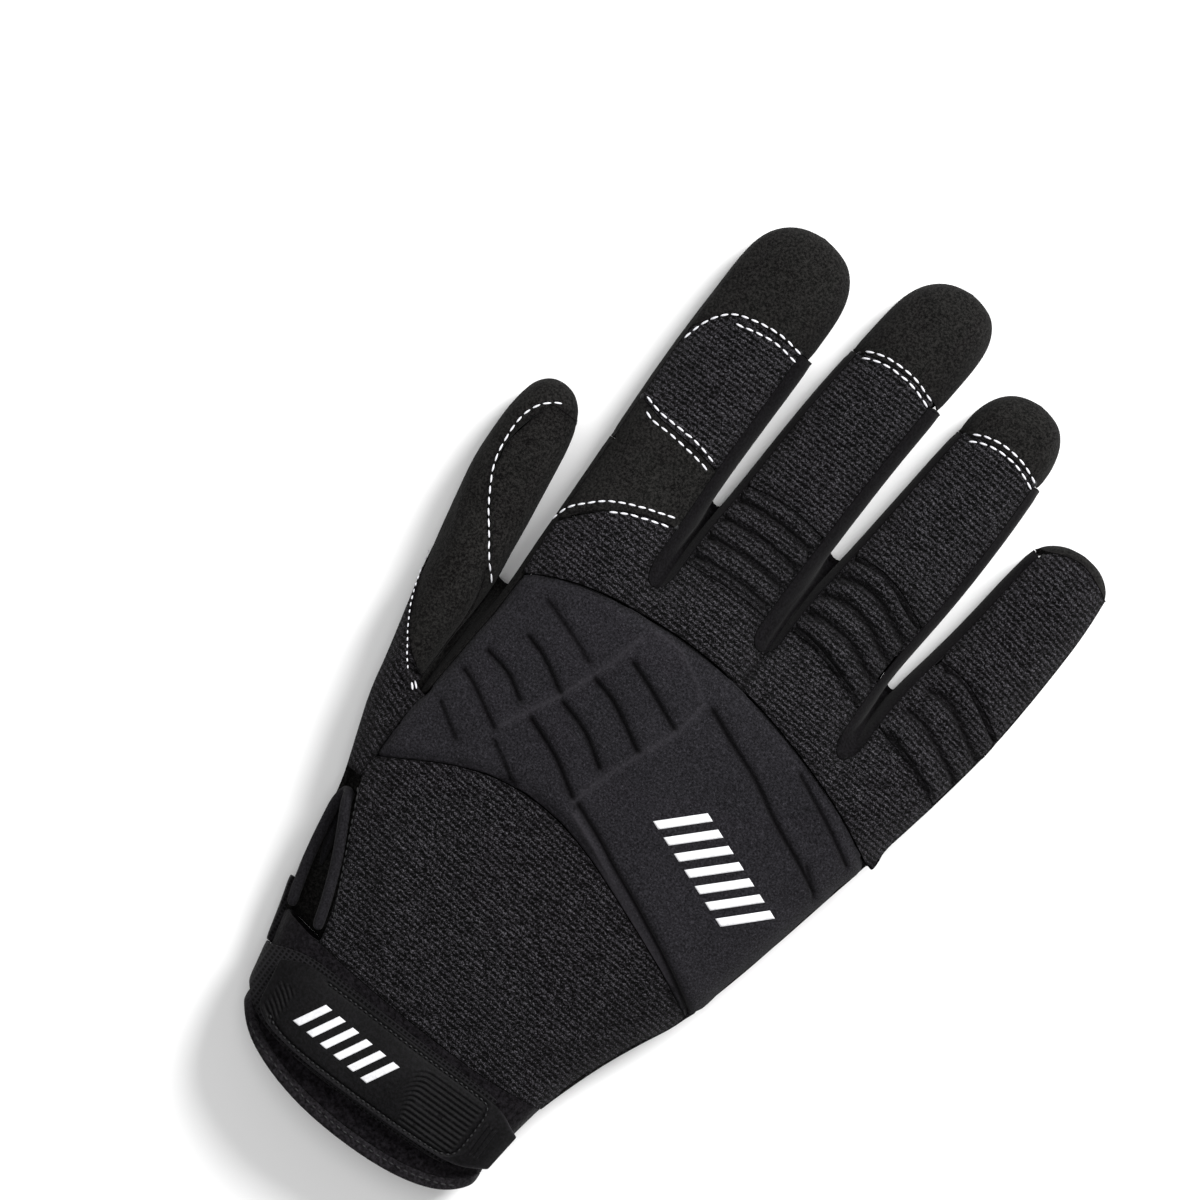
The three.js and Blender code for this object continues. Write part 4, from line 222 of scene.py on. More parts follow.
def press(mesh, node, edges):
    """Moves the points of a finished panel: slack, folds, welded grooves and edges drawn in by their seams.
    Keeps how far each point is pressed in or raised as the mesh's own attributes, for the cloth's colour: painted
    shade where it is pressed in and a painted highlight where it stands up.
    Gives back the spots along its cut edges, moved with the slack."""
    n = len(mesh.vertices)
    co, out = np.empty(n * 3, np.float32), np.empty(n * 3, np.float32)
    mesh.vertices.foreach_get("co", co)
    mesh.vertex_normals.foreach_get("vector", out)
    co, out = co.reshape(-1, 3).astype(float), out.reshape(-1, 3).astype(float)
    x, y, z = co[:, 0] / MM + WRIST_MARK[0], co[:, 1] / MM + WRIST_MARK[1], co[:, 2] / MM
    up = smooth(0.1, 0.45, out[:, 2])  # 1 on the outer face of the back and 0 on its inner face
    move, hollow, raised = np.zeros(n), np.zeros(n), np.zeros(n)
    if node == "knuckle_pad":
        depth = pressed(x, y, PAD_GROOVES) * up
        ridge = pressed(x, y, PAD_RIDGES) * up
        move += ridge - depth
        # darker in the welded grooves: partly crushed pile, partly painted shade
        hollow += depth
        # painted highlight along the pad's raised ridges
        raised += ridge / 0.4
    if node == "back_knit":
        depth = pressed(x, y, BACK_FOLDS) * up
        move -= depth
        # painted shade in the folds
        hollow += depth * 0.6
    if node.endswith("flex_pad"):
        depth = pressed(x, y, FLEX_GROOVES) * up
        move -= depth
        # darker in the welded grooves: partly crushed pile, partly painted shade
        hollow += depth
    if node in ("cuff_back", "cuff_palm"):
        rows = quilted(co)
        move -= QUILT_DEPTH * rows
        # painted shade in the quilted rows
        hollow += rows * 0.7
    away = gaps_to(edges, co)
    draw = SEAM_DRAW.get(node, SEAM_DEPTH)
    if node == "slit_binding":
        move += 0.4  # the piping is stuffed by its folded edge
    elif node == "strap_tab":
        relief = tab_relief(x, y) * up
        move += relief
        # painted shade in the tab's recessed border and between its ribs
        hollow += np.clip(-relief, 0, 1) * 1.6
        rim = np.maximum(smooth(26, 30, x), smooth(2, 6, -y))  # the end and the wrist's side stand up; their rim gets a painted highlight
        raised += 0.9 * np.exp(-(away / 0.5) ** 2) * rim
    elif draw:
        move -= draw * np.exp(-(away / SEAM_WIDTH) ** 2)
        # painted shade along the seams, where the panels meet
        hollow += 0.75 * np.exp(-(away / SEAM_SHADE) ** 2)
    co += out * (move * MM)[:, None]
    if node == "strap_anchor":
        co[:, 0] += 0.5 * MM  # pushed up against the strap
    if node not in OVERLAYS:
        co[:, 2] += sway(x, y, z) * MM
    mesh.vertices.foreach_set("co", co.astype(np.float32).ravel())
    for name, value in (("hollow", hollow), ("raised", raised)):
        kept = mesh.attributes.new(name, "FLOAT", "POINT")
        kept.data.foreach_set("value", np.clip(value, 0, 1).astype(np.float32))
    mesh.update()
    seam = np.array(edges).reshape(-1, 3)
    seam[:, 2] += sway(seam[:, 0] / MM + WRIST_MARK[0], seam[:, 1] / MM + WRIST_MARK[1], seam[:, 2] / MM) * MM
    return seam


def tree_of(spots):
    """A tree that finds the nearest of the spots"""
    near = KDTree(len(spots))
    for k, p in enumerate(spots):
        near.insert(p, k)
    near.balance()
    return near


def gaps_to(spots, points):
    """How far each point is from the nearest of the spots, in mm"""
    if not len(spots):
        return np.full(len(points), 1e3)
    near = tree_of(spots)
    return np.array([near.find(p)[2] for p in points]) / MM


def quilted(points):
    """Two rows quilted into the cuff's cloth along its binding: 1 on a row and 0 off it"""
    away = gaps_to([v.co for v in nodes["cuff_binding"].data.vertices], points)
    return np.maximum(*(np.exp(-((away - row) / QUILT_WIDTH) ** 2) for row in QUILT_ROWS))


def between(low, high, value, edge=1.0):
    """1 from low to high and 0 beyond, changing over an edge"""
    return smooth(low, low + edge, value) * (1 - smooth(high - edge, high, value))


def ribs(place, pitch, height):
    """Rounded ribs a pitch apart"""
    return height * np.cos(place / pitch * 2 * math.pi)


def tab_relief(x, y):
    """The tab's moulded ribs, in mm: hooks nested round one corner, short ribs at both ends and a sewn border"""
    hook = np.hypot(np.maximum(9 - x, 0) * 1.9, y + 6.2)  # flat ovals below the corner and straight beside it
    field = (1 - smooth(13.8, 14.6, hook)) * (1 - smooth(23, 23.8, x)) * smooth(-6.2, -5.6, y)
    root = between(-34, -28.5, x) * between(-6, 5, y)
    end = smooth(25.9, 26.2, x) * (1 - smooth(29.6, 30, x)) * between(-3, 5.6, y, 0.6)
    height = ribs(hook, 1.3, 0.26) * field
    height += ribs(y + 0.04 * (x + 40) ** 2, 1.4, 0.22) * root  # slightly bowed
    height += ribs(x - 26.6, 1.25, 0.3) * end
    return height - 0.4 * np.exp(-(distance(x, y, rounded(TAB_BORDER)) / 0.4) ** 2)


def has_relief(node, x, y):
    """Where narrow relief needs a mesh twice as fine"""
    if node == "strap_tab":
        return abs(tab_relief(x, y)) > 0.02
    return (pressed(x, y, PAD_GROOVES) > 0.3) | (pressed(x, y, PAD_RIDGES) > 0.06)


def even_mesh(node, fineness, edge):
    """A close, even mesh of one panel with rounded cut edges, and spots along those edges"""
    shape = bmesh.new()
    shape.from_mesh(nodes[node].data)
    bmesh.ops.remove_doubles(shape, verts=shape.verts, dist=MERGE)
    bmesh.ops.join_triangles(shape, faces=shape.faces, angle_face_threshold=math.radians(38),
                             angle_shape_threshold=math.radians(60))
    sharp = [e for e in shape.edges if len(e.link_faces) == 2 and e.calc_face_angle(0) > SHARP]
    spots = []
    for e in sharp:
        a, b = e.verts[0].co, e.verts[1].co
        steps = max(1, int((b - a).length / SPOT_PITCH))
        spots += [a.lerp(b, k / steps) for k in range(steps + 1)]
    if edge:
        bmesh.ops.bevel(shape, geom=sharp, offset=edge * MM, offset_type="OFFSET", segments=2, profile=0.5,
                        affect="EDGES", clamp_overlap=True, material=-1)
    mesh = bpy.data.meshes.new(node + "_rough")
    shape.to_mesh(mesh)
    shape.free()
    rough = bpy.data.objects.new(node + "_rough", mesh)
    bpy.context.scene.collection.objects.link(rough)
    rounder = rough.modifiers.new("rounder", "SUBSURF")
    rounder.levels = rounder.render_levels = fineness
    bpy.context.view_layer.update()
    done = bpy.data.meshes.new_from_object(rough.evaluated_get(bpy.context.evaluated_depsgraph_get()))
    bpy.data.objects.remove(rough)
    bpy.data.meshes.remove(mesh)
    if node in ("knuckle_pad", "strap_tab"):
        shape = bmesh.new()
        shape.from_mesh(done)
        shape.normal_update()
        tops = [f for f in shape.faces if f.normal.z > 0.25]
        middles = np.array([f.calc_center_median() for f in tops]) / MM + (*WRIST_MARK, 0)
        near = has_relief(node, middles[:, 0], middles[:, 1])
        finer = dict.fromkeys(e for f, inside in zip(tops, near) if inside for e in f.edges)  # each once, in order
        bmesh.ops.subdivide_edges(shape, edges=list(finer), cuts=1, use_grid_fill=True, smooth=0)
        shape.to_mesh(done)
        shape.free()
    done.materials.clear()
    return done, spots


def add_piece(name, mesh, finish, stands_for=()):
    """Puts a finished mesh on the glove with its finish"""
    piece = bpy.data.objects.new(name, mesh)
    bpy.context.scene.collection.objects.link(piece)
    mesh.polygons.foreach_set("use_smooth", [True] * len(mesh.polygons))
    mesh.materials.append(finish)
    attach(piece, "root")
    if stands_for:
        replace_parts(piece, *stands_for)
    return piece


# ---- finishes ----
def linear(colour):
    """An sRGB hex colour as linear red, green, blue and full cover"""
    parts = [int(colour[k:k + 2], 16) / 255 for k in (1, 3, 5)]
    return [c / 12.92 if c <= 0.04045 else ((c + 0.055) / 1.055) ** 2.4 for c in parts] + [1]


def node(tree, kind, sockets=(), out=0, **settings):
    """Adds a shader node with its settings, sets or links its sockets and gives back its output"""
    made = tree.nodes.new("ShaderNode" + kind)
    for key, value in settings.items():
        setattr(made, key, value)
    for key, value in dict(sockets).items():
        if isinstance(value, bpy.types.NodeSocket):
            tree.links.new(value, made.inputs[key])
        else:
            made.inputs[key].default_value = value
    return made.outputs[out]


PLUS = {"operation": "ADD"}
MINUS = {"operation": "SUBTRACT"}
TIMES = {"operation": "MULTIPLY"}
TIMES_PLUS = {"operation": "MULTIPLY_ADD"}
EASED = {"interpolation_type": "SMOOTHSTEP"}
COLOURS = {"data_type": "RGBA", "out": 2}

# The noise of each finish, in cells to the millimetre, so one over the real size
KNIT_SLIP = 0.8  # loops slip sideways over 1.25 mm
KNIT_FIBRE = 2.3  # loose fibre ends 0.43 mm apart
SUEDE_CLOUD = 0.13  # patches brushed one way, 7.7 mm wide
SUEDE_PILE = 1.5  # tufts of pile 0.67 mm wide, coarser than the real ones so that they show
FELT = 1.9  # felted fibre ends 0.53 mm apart
FELT_CLOUD = 0.16  # rubbed patches 6.3 mm wide
WEAVE_GRAIN = 1.6  # unevenness of threads 0.63 mm thick
KNIT_ROWS, KNIT_WALES = 1.33, 1.14  # in mm


def finish_of(name, colour, roughness, specular, sheen=0, sheen_roughness=0.5):
    """A new material, its nodes, its shader and the place on the object in mm"""
    made = bpy.data.materials.new(name)
    made.use_nodes = True
    tree = made.node_tree
    shader = tree.nodes["Principled BSDF"]
    for socket, value in (("Base Color", linear(colour)), ("Roughness", roughness), ("Specular IOR Level", specular),
                          ("Sheen Weight", sheen), ("Sheen Roughness", sheen_roughness)):
        shader.inputs[socket].default_value = value
    spot = node(tree, "TexCoord", out="Object")
    return made, tree, shader, node(tree, "Mapping", {"Vector": spot, "Scale": (1 / MM, 1 / MM, 1 / MM)})


def wave(tree, value, spacing):
    """From 0 in the furrows to 1 on the crests, a crest every spacing mm"""
    turned = node(tree, "Math", {0: value, 1: 2 * math.pi / spacing}, **TIMES)
    swing = node(tree, "Math", {0: turned}, operation="SINE")
    return node(tree, "Math", {0: swing, 1: 0.5, 2: 0.5}, **TIMES_PLUS)


def dress(tree, shader, tone, shade, relief, depth, strength):
    """Links the colour and the relief, whose depth is in mm. The colour is painted darker as shade where the cloth
    is pressed in, by the given shade (in welded grooves partly crushed pile), and painted lighter as a highlight
    where it stands up."""
    low = node(tree, "Attribute", out="Fac", attribute_name="hollow")
    high = node(tree, "Attribute", out="Fac", attribute_name="raised")
    dark = node(tree, "Math", {0: low, 1: shade}, **TIMES)
    painted_highlight = node(tree, "Math", {0: high, 1: 0.45}, **TIMES)
    # painted shade where the cloth is pressed in
    tone = node(tree, "Mix", {0: dark, 6: tone, 7: linear("#030203")}, **COLOURS)
    # painted highlight where the cloth stands up
    tone = node(tree, "Mix", {0: painted_highlight, 6: tone, 7: linear("#3a383c")}, **COLOURS)
    raised = node(tree, "Bump", {"Strength": strength, "Distance": depth * MM, "Height": relief})
    tree.links.new(tone, shader.inputs["Base Color"])
    tree.links.new(raised, shader.inputs["Normal"])


def knit(name, turn, crest="#110f12", fibre="#5e5c61"):
    """Polyester rib knit: dark furrows between its rows and wales, grey crests and stray light fibres"""
    made, tree, shader, at = finish_of(name, "#131214", 0.95, 0.03, 0.02, 0.6)
    turned = {"Vector": at, "Rotation": (0, 0, math.radians(turn))}
    across = node(tree, "SeparateXYZ", {0: node(tree, "Mapping", turned)})
    along = across.node.outputs[1]
    grain = node(tree, "TexNoise", {"Vector": at, "Scale": KNIT_SLIP, "Detail": 2.0})
    slip = node(tree, "Math", {0: node(tree, "Math", {0: grain, 1: 0.5}, **MINUS), 1: 1.5}, **TIMES)
    rows = wave(tree, node(tree, "Math", {0: along, 1: slip}, **PLUS), KNIT_ROWS)
    wales = wave(tree, node(tree, "Math", {0: slip, 1: 2.4, 2: across}, **TIMES_PLUS), KNIT_WALES)
    loops = node(tree, "Math", {0: wales, 1: 0.36, 2: node(tree, "Math", {0: rows, 1: 0.64}, **TIMES)}, **TIMES_PLUS)
    drawn = node(tree, "Mapping", {**turned, "Scale": (0.9, 1.4, 1)})
    fibres = node(tree, "TexNoise", {"Vector": drawn, "Scale": KNIT_FIBRE, "Detail": 4.0, "Roughness": 0.85})
    stray = node(tree, "MapRange", {0: fibres, 1: 0.48, 2: 0.66}, **EASED)
    crests = node(tree, "MapRange", {0: loops, 1: 0.1, 2: 0.75}, **EASED)
    specks = node(tree, "Math", {0: stray, 1: crests}, **TIMES)
    lit = node(tree, "MapRange", {0: loops, 1: 0.28, 2: 1.0}, **EASED)
    yarn = node(tree, "Mix", {0: lit, 6: linear("#010101"), 7: linear(crest)}, **COLOURS)
    tone = node(tree, "Mix", {0: specks, 6: yarn, 7: linear(fibre)}, **COLOURS)
    dress(tree, shader, tone, 0.8, node(tree, "Math", {0: fibres, 1: 0.6, 2: loops}, **TIMES_PLUS), 0.55, 0.9)
    return made


def suede(name, light, dark):
    """Microfibre suede: a short warm black pile, brushed lighter and darker in soft clouds"""
    made, tree, shader, at = finish_of(name, dark, 0.95, 0.03, 0.02, 0.5)
    clouds = node(tree, "TexNoise", {"Vector": at, "Scale": SUEDE_CLOUD, "Detail": 3.0, "Roughness": 0.6})
    pile = node(tree, "TexNoise", {"Vector": at, "Scale": SUEDE_PILE, "Detail": 4.0, "Roughness": 0.85})
    brushed_up = node(tree, "MapRange", {0: clouds, 1: 0.3, 2: 0.7}, **EASED)
    tufts = node(tree, "MapRange", {0: pile, 1: 0.4, 2: 0.64}, **EASED)
    tone = node(tree, "Mix", {0: brushed_up, 6: linear(dark), 7: linear(light)}, **COLOURS)
    nap = node(tree, "Mix", {0: tufts, 6: linear("#030303"), 7: linear("#2c2b2a")}, **COLOURS)
    dress(tree, shader, node(tree, "Mix", {0: 0.62, 6: tone, 7: nap}, **COLOURS), 0.7, pile, 0.3, 0.5)
    return made


def brushed(name):
    """Neoprene foam faced with brushed jersey: a felted blue-black surface with light fibre ends"""
    made, tree, shader, at = finish_of(name, "#131214", 0.95, 0.03, 0.03, 0.5)
    felt = node(tree, "TexNoise", {"Vector": at, "Scale": FELT, "Detail": 5.0, "Roughness": 0.85})
    clouds = node(tree, "TexNoise", {"Vector": at, "Scale": FELT_CLOUD, "Detail": 2.0})
    body = node(tree, "MapRange", {0: felt, 1: 0.36, 2: 0.66}, **EASED)
    ends = node(tree, "MapRange", {0: felt, 1: 0.57, 2: 0.74}, **EASED)
    tone = node(tree, "Mix", {0: body, 6: linear("#060607"), 7: linear("#302f33")}, **COLOURS)
    tone = node(tree, "Mix", {0: ends, 6: tone, 7: linear("#504e54")}, **COLOURS)
    patches = node(tree, "Mix", {0: clouds, 6: linear("#0f0e10"), 7: linear("#242226")}, **COLOURS)
    dress(tree, shader, node(tree, "Mix", {0: 0.25, 6: tone, 7: patches}, **COLOURS), 0.8, felt, 0.35, 0.8)
    return made


def woven(name, dark, light, spacing):
    """Woven webbing: ribs across the band, split by the warp, a rib every spacing mm"""
    made, tree, shader, at = finish_of(name, dark, 0.92, 0.05, 0.03, 0.5)
    across = node(tree, "SeparateXYZ", {0: at})
    cords = wave(tree, across.node.outputs[1], spacing)
    warp = wave(tree, across, spacing * 1.3)
    grain = node(tree, "TexNoise", {"Vector": at, "Scale": WEAVE_GRAIN, "Detail": 3.0})
    over = node(tree, "Math", {0: cords, 1: warp}, operation="MAXIMUM")
    height = node(tree, "Math", {0: grain, 1: 0.5, 2: over}, **TIMES_PLUS)
    crests = node(tree, "MapRange", {0: height, 1: 0.5, 2: 1.3}, **EASED)
    tone = node(tree, "Mix", {0: crests, 6: linear(dark), 7: linear(light)}, **COLOURS)
    dress(tree, shader, tone, 0.6, height, 0.25, 0.7)
    return made


def plain_cloth(name, dark, light, grain, depth, roughness=0.92, specular=0.04, sheen=0.03):
    """A close even surface, lighter and darker by its grain, whose size and depth are in mm"""
    made, tree, shader, at = finish_of(name, dark, roughness, specular, sheen, 0.5)
    grains = node(tree, "TexNoise", {"Vector": at, "Scale": 1 / grain, "Detail": 3.0, "Roughness": 0.7})
    crests = node(tree, "MapRange", {0: grains, 1: 0.3, 2: 0.75}, **EASED)
    tone = node(tree, "Mix", {0: crests, 6: linear(dark), 7: linear(light)}, **COLOURS)
    dress(tree, shader, tone, 0.6, grains, depth, 0.7)
    return made


finishes = {
    # Rib knit, its rows turned to lie across each panel; the fingers' knit is stretched, so lighter
    "knit_back": knit("rib_knit_back", 4.5),
    "knit_knuckles": knit("rib_knit_knuckles", 3),
    "knit_index": knit("rib_knit_index", 0.5, "#181719", "#5c5a5f"),
    "knit_middle": knit("rib_knit_middle", 2, "#181719", "#5c5a5f"),
    "knit_ring": knit("rib_knit_ring", 5, "#181719", "#5c5a5f"),
    "knit_little": knit("rib_knit_little", 9, "#181719", "#5c5a5f"),
    "knit_thumb": knit("rib_knit_thumb", 20),
    "brushed_neoprene": brushed("brushed_neoprene"),
    "suede": suede("microfibre_suede", "#161615", "#0c0b0b"),
    "suede_overlay": suede("microfibre_suede_overlay", "#171615", "#0d0c0c"),
    # Fine jersey between the fingers: almost black and smooth
    "stretch_cloth": plain_cloth("stretch_jersey", "#060506", "#161517", 0.6, 0.15),
    # Folded knitted tape: a little lighter than the knit beside it
    "slit_binding": plain_cloth("folded_slit_tape", "#0e0d0f", "#232225", 0.5, 0.15),
    # Unbroken loop cloth: deep black with a coarse grain
    "cuff_band": plain_cloth("looped_cuff_cloth", "#030203", "#1c1a1d", 0.9, 0.5),
    "cuff_binding": plain_cloth("folded_binding", "#080708", "#262427", 0.8, 0.3),
    "strap_webbing": woven("woven_strap", "#050505", "#1e1d1f", 0.9),
    # Moulded thermoplastic rubber: matt, with a faint gloss on its ribs
    "moulded_rubber": plain_cloth("moulded_soft_rubber", "#040404", "#121113", 0.7, 0.12, 0.6, 0.08, 0),
    # Twisted polyester thread, slightly glossy
    "white_thread": plain_cloth("white_polyester_thread", "#b9b9c0", "#f2f2f4", 0.25, 0.05, 0.7, 0.3),
    "black_thread": plain_cloth("black_polyester_thread", "#070708", "#1d1d1f", 0.25, 0.05, 0.6, 0.3),
    # Heat-set print: flat pale grey
    "print": plain_cloth("grey_heat_print", "#c9c9cc", "#e2e2e4", 0.8, 0.02, 0.5, 0.3, 0),
}

# ---- the panels ----
seams = {}
for name, slot, cloth, fineness, edge in PANELS:
    mesh, edges = even_mesh(name, fineness, edge)
    seams[name] = press(mesh, name, edges)
    piece = add_piece(name + "_sewn", mesh, finishes[cloth], [name])
sewn = {o["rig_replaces"][0]: o for o in bpy.data.objects if "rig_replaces" in o}


# How far apart seam edges may be to be drawn together wholly and at all, in mm
SEAM_REACH = {"cuff_back": (1.6, 2.6), "cuff_palm": (1.6, 2.6), "cuff_binding": (1.6, 2.6)}


def close_seams():
    """Draws the edges of neighbouring panels together until they touch, as their seams do"""
    for name, own in seams.items():
        if name in LAID_ON:
            continue
        full, reach = SEAM_REACH.get(name, (0.9, 1.6))
        others = np.concatenate([line for other, line in seams.items() if other != name and other not in LAID_ON])
        inside = np.all((others > own.min(0) - reach * MM) & (others < own.max(0) + reach * MM), axis=1)
        near = tree_of(others[inside])
        mesh = sewn[name].data
        for v in mesh.vertices:
            spot, _, gap = near.find(v.co)
            if gap < reach * MM:
                # a little more than half of the way, as the other panel comes to meet it
                v.co += (spot - v.co) * float(0.56 * (1 - smooth(full, reach, gap / MM)))
        mesh.update()


close_seams()


# ---- stitches ----
def surface_of(names):
    """The faces of these panels together, to lay things on"""
    points, faces = [], []
    for name in names:
        mesh = sewn[name].data
        start = len(points)
        points += [v.co.copy() for v in mesh.vertices]
        faces += [tuple(start + i for i in p.vertices) for p in mesh.polygons]
    return BVHTree.FromPolygons(points, faces)


def stepped(line, pitch):
    """Points along the line a pitch apart, in mm"""
    p = np.array(line, float)
    steps = np.hypot(*np.diff(p, axis=0).T)
    total = np.concatenate([[0], np.cumsum(steps)])
    count = max(1, int(total[-1] // pitch))
    places = np.linspace(0, total[-1], count + 1)
    return np.column_stack([np.interp(places, total, p[:, 0]), np.interp(places, total, p[:, 1])])


ABOVE, BELOW = 60 * MM, -20 * MM  # where the rays start


def laid(surface, x, y, down=True, around=0.55):
    """The top of the surface round a place, seen from above or below, and the way out of it, so that a
    stitch over a seam doesn't sink into its gap"""
    best = None
    for dx, dy in ((0, 0), (around, 0), (-around, 0), (0, around), (0, -around)):
        start = Vector(((x + dx - WRIST_MARK[0]) * MM, (y + dy - WRIST_MARK[1]) * MM, ABOVE if down else BELOW))
        spot, out, _, _ = surface.ray_cast(start, Vector((0, 0, -1 if down else 1)))
        if spot is None:
            continue
        height = (spot.z if down else -spot.z) - (0.15 * MM if dx or dy else 0)
        if best is None or height > best[0]:
            best = (height, out if (out.z > 0) == down else -out)
    if best is None:
        return None, None
    middle = Vector(((x - WRIST_MARK[0]) * MM, (y - WRIST_MARK[1]) * MM, best[0] if down else -best[0]))
    return middle, best[1]


def thread_dash():
    """One stitch as it shows: a plump thread that dips into the cloth at both ends"""
    dash = bmesh.new()
    bmesh.ops.create_uvsphere(dash, u_segments=7, v_segments=6, radius=0.5)
    for v in dash.verts:
        v.co = Vector((v.co.z, v.co.x, v.co.y))
        v.co.z -= 0.3 * v.co.x * v.co.x
    bmesh.ops.recalc_face_normals(dash, faces=dash.faces)
    points = np.array([v.co for v in dash.verts])
    faces = [tuple(v.index for v in f.verts) for f in dash.faces]
    dash.free()
    return points, faces


DASH_POINTS, DASH_FACES = thread_dash()


def joined(name, copies, finish):
    """Many stitches as one mesh, each given by its middle and by its length, width and height as vectors"""
    points = [middle + DASH_POINTS @ directions for middle, directions in copies]
    faces = [tuple(k * len(DASH_POINTS) + i for i in face) for k in range(len(copies)) for face in DASH_FACES]
    mesh = bpy.data.meshes.new(name)
    mesh.from_pydata(np.concatenate(points).tolist(), [], faces)
    mesh.update()
    return add_piece(name, mesh, finish)


def sew(name, rows, surface, finish, pitch=2.4, share=0.78, width=0.56, down=True):
    """Rows of stitches a pitch apart, each as long as its share of the pitch, in mm"""
    stitches = []
    for row in rows:
        places = stepped(rounded(row) if len(row) > 2 else row, pitch)
        ends = [laid(surface, x, y, down) for x, y in places]
        for (a, out_a), (b, out_b) in zip(ends, ends[1:]):
            if a is None or b is None or not 0.3 * pitch * MM <= (b - a).length <= 2.2 * pitch * MM:
                continue
            out = (out_a + out_b).normalized()
            ahead = (b - a).normalized()
            ahead = (ahead + out.cross(ahead).normalized() * random.normal(0, 0.05)).normalized()
            side = out.cross(ahead).normalized()
            out = ahead.cross(side).normalized()
            length = (b - a).length * share * random.uniform(0.93, 1.05)
            middle = np.array((a + b) / 2 + out * (0.1 * MM))
            stitches.append((middle, np.array([ahead * length, side * (width * MM), out * (width * 0.8 * MM)])))
    return joined(name, stitches, finish)


INDEX_ROWS = [
    [(-45.8, 185), (-44.5, 190), (-43, 193), (-40, 196.5), (-36, 198), (-31, 199), (-26, 199.2), (-20.7, 198.3)],
    [(-38, 195), (-34, 196), (-29, 196.9), (-25, 196.8), (-20.5, 196)],
    [(-45, 168.7), (-40, 167.3), (-35, 167), (-28, 166.5), (-22.5, 165)],
    [(-43, 165.7), (-41, 164.7), (-35, 164.5), (-28, 163.7), (-22.5, 162.7)],
    [(-22, 149), (-26, 147.7), (-31, 146), (-36, 143.7), (-39, 141.7), (-42, 138.7), (-44.5, 136), (-46, 131)],
    [(-22, 146.4), (-27, 144.8), (-32, 143), (-36, 140.7)],
]
MIDDLE_ROWS = [
    [(-9, 208), (-5, 209.6), (0, 210), (5, 209.6), (9, 208.4), (11.3, 207.6)],
    [(-8.8, 206.2), (-5, 207.8), (0, 208.3), (5, 207.9), (9, 206.7), (11.3, 205.9)],
]
RING_ROWS = [
    [(23.5, 207), (26, 208.3), (30, 209.2), (33, 209.2), (37, 208.7), (41, 207.2), (43, 206.3)],
    [(23.7, 205), (26, 206.4), (30, 207.4), (33, 207.5), (37, 207), (41, 205.5), (43, 204.6)],
]
THUMB_ROWS = [
    [(-60, 155.5), (-63, 153.5), (-65, 151), (-66.3, 147), (-66.3, 141), (-65.7, 137), (-64.5, 133), (-63, 130),
     (-60, 125), (-57, 121), (-53, 115.5), (-50, 112), (-48.5, 110.5)],
]
GUSSET_ROWS = [
    [(-65.7, 108.5), (-64.5, 104), (-63, 99), (-61.5, 95.5), (-59, 91), (-57, 88), (-55, 85), (-52.5, 82)],
]
WHITE_TACKS = [[(-50.3, 80.2), (-48.7, 78.8)], [(-49.9, 80.9), (-48.2, 79.5)]]
SLIT_ROWS = [
    [(-47.4, 53.6), (-45.2, 51.8), (-43, 47), (-39, 38.5), (-35, 30), (-32, 23.5)],
]
back_surface = surface_of([n for n in sewn if n not in OVERLAYS])
white = finishes["white_thread"]
black = finishes["black_thread"]
sew("white_stitches_index", INDEX_ROWS, back_surface, white)
sew("white_stitches_middle", MIDDLE_ROWS, back_surface, white)
sew("white_stitches_ring", RING_ROWS, back_surface, white)
sew("white_stitches_thumb", THUMB_ROWS, back_surface, white, pitch=2.6, width=0.5)
sew("gusset_stitches", GUSSET_ROWS, back_surface, white, pitch=1.6, share=0.55, width=0.4)
sew("white_tack", WHITE_TACKS, back_surface, white, pitch=2.1, share=0.95, width=0.6)
sew("slit_stitches", SLIT_ROWS, back_surface, black, pitch=1.8, share=0.75, width=0.45)
sew("tab_stitches", [TAB_BORDER], back_surface, black, pitch=1.5, share=0.62, width=0.5)


def cuff_row():
    """A row 2.2 mm inside the edge of the cuff's binding, over its back"""
    bound = np.array([v.co for v in sewn["cuff_binding"].data.vertices]) / MM + (*WRIST_MARK, 0)
    over = {x: bound[(bound[:, 2] > 12) & (abs(bound[:, 0] - x) < 1.5)] for x in range(-34, 32, 3)}
    return [(x, float(spots[:, 1].min() + 2.2)) for x, spots in over.items() if len(spots)]


sew("cuff_stitches", [cuff_row()], back_surface, black, pitch=1.9, share=0.7, width=0.45)

# Black bar tacks close the corners where three panels meet.
CORNERS = [
    ("index_knit", "index_front", "index_middle_fourchette"),
    ("middle_knit", "middle_front", "middle_ring_fourchette"),
    ("middle_knit", "middle_front", "index_middle_fourchette"),
    ("ring_knit", "ring_front", "ring_little_fourchette"),
    ("ring_knit", "ring_front", "middle_ring_fourchette"),
    ("little_knit", "little_front", "ring_little_fourchette"),
    ("thumb_inner_panel", "thumb_front", "palm_panel"),
    ("knuckle_knit", "index_patch", "index_middle_fourchette"),
    ("index_knit", "index_patch", "index_front"),
]


def nearest_to(names):
    """The place where three panels come closest together"""
    trees = [tree_of([v.co for v in sewn[name].data.vertices]) for name in names[1:]]
    best = min(sewn[names[0]].data.vertices,
               key=lambda v: max(near.find(v.co)[2] for near in trees) - 0.15 * v.co.z)  # rather on top than below
    return (best.co + trees[0].find(best.co)[0] + trees[1].find(best.co)[0]) / 3


TACK_SIZE = np.diag((1.7, 1.9, 1.1)) * MM
joined("corner_tacks", [(np.array(nearest_to(names)), TACK_SIZE) for names in CORNERS], black)


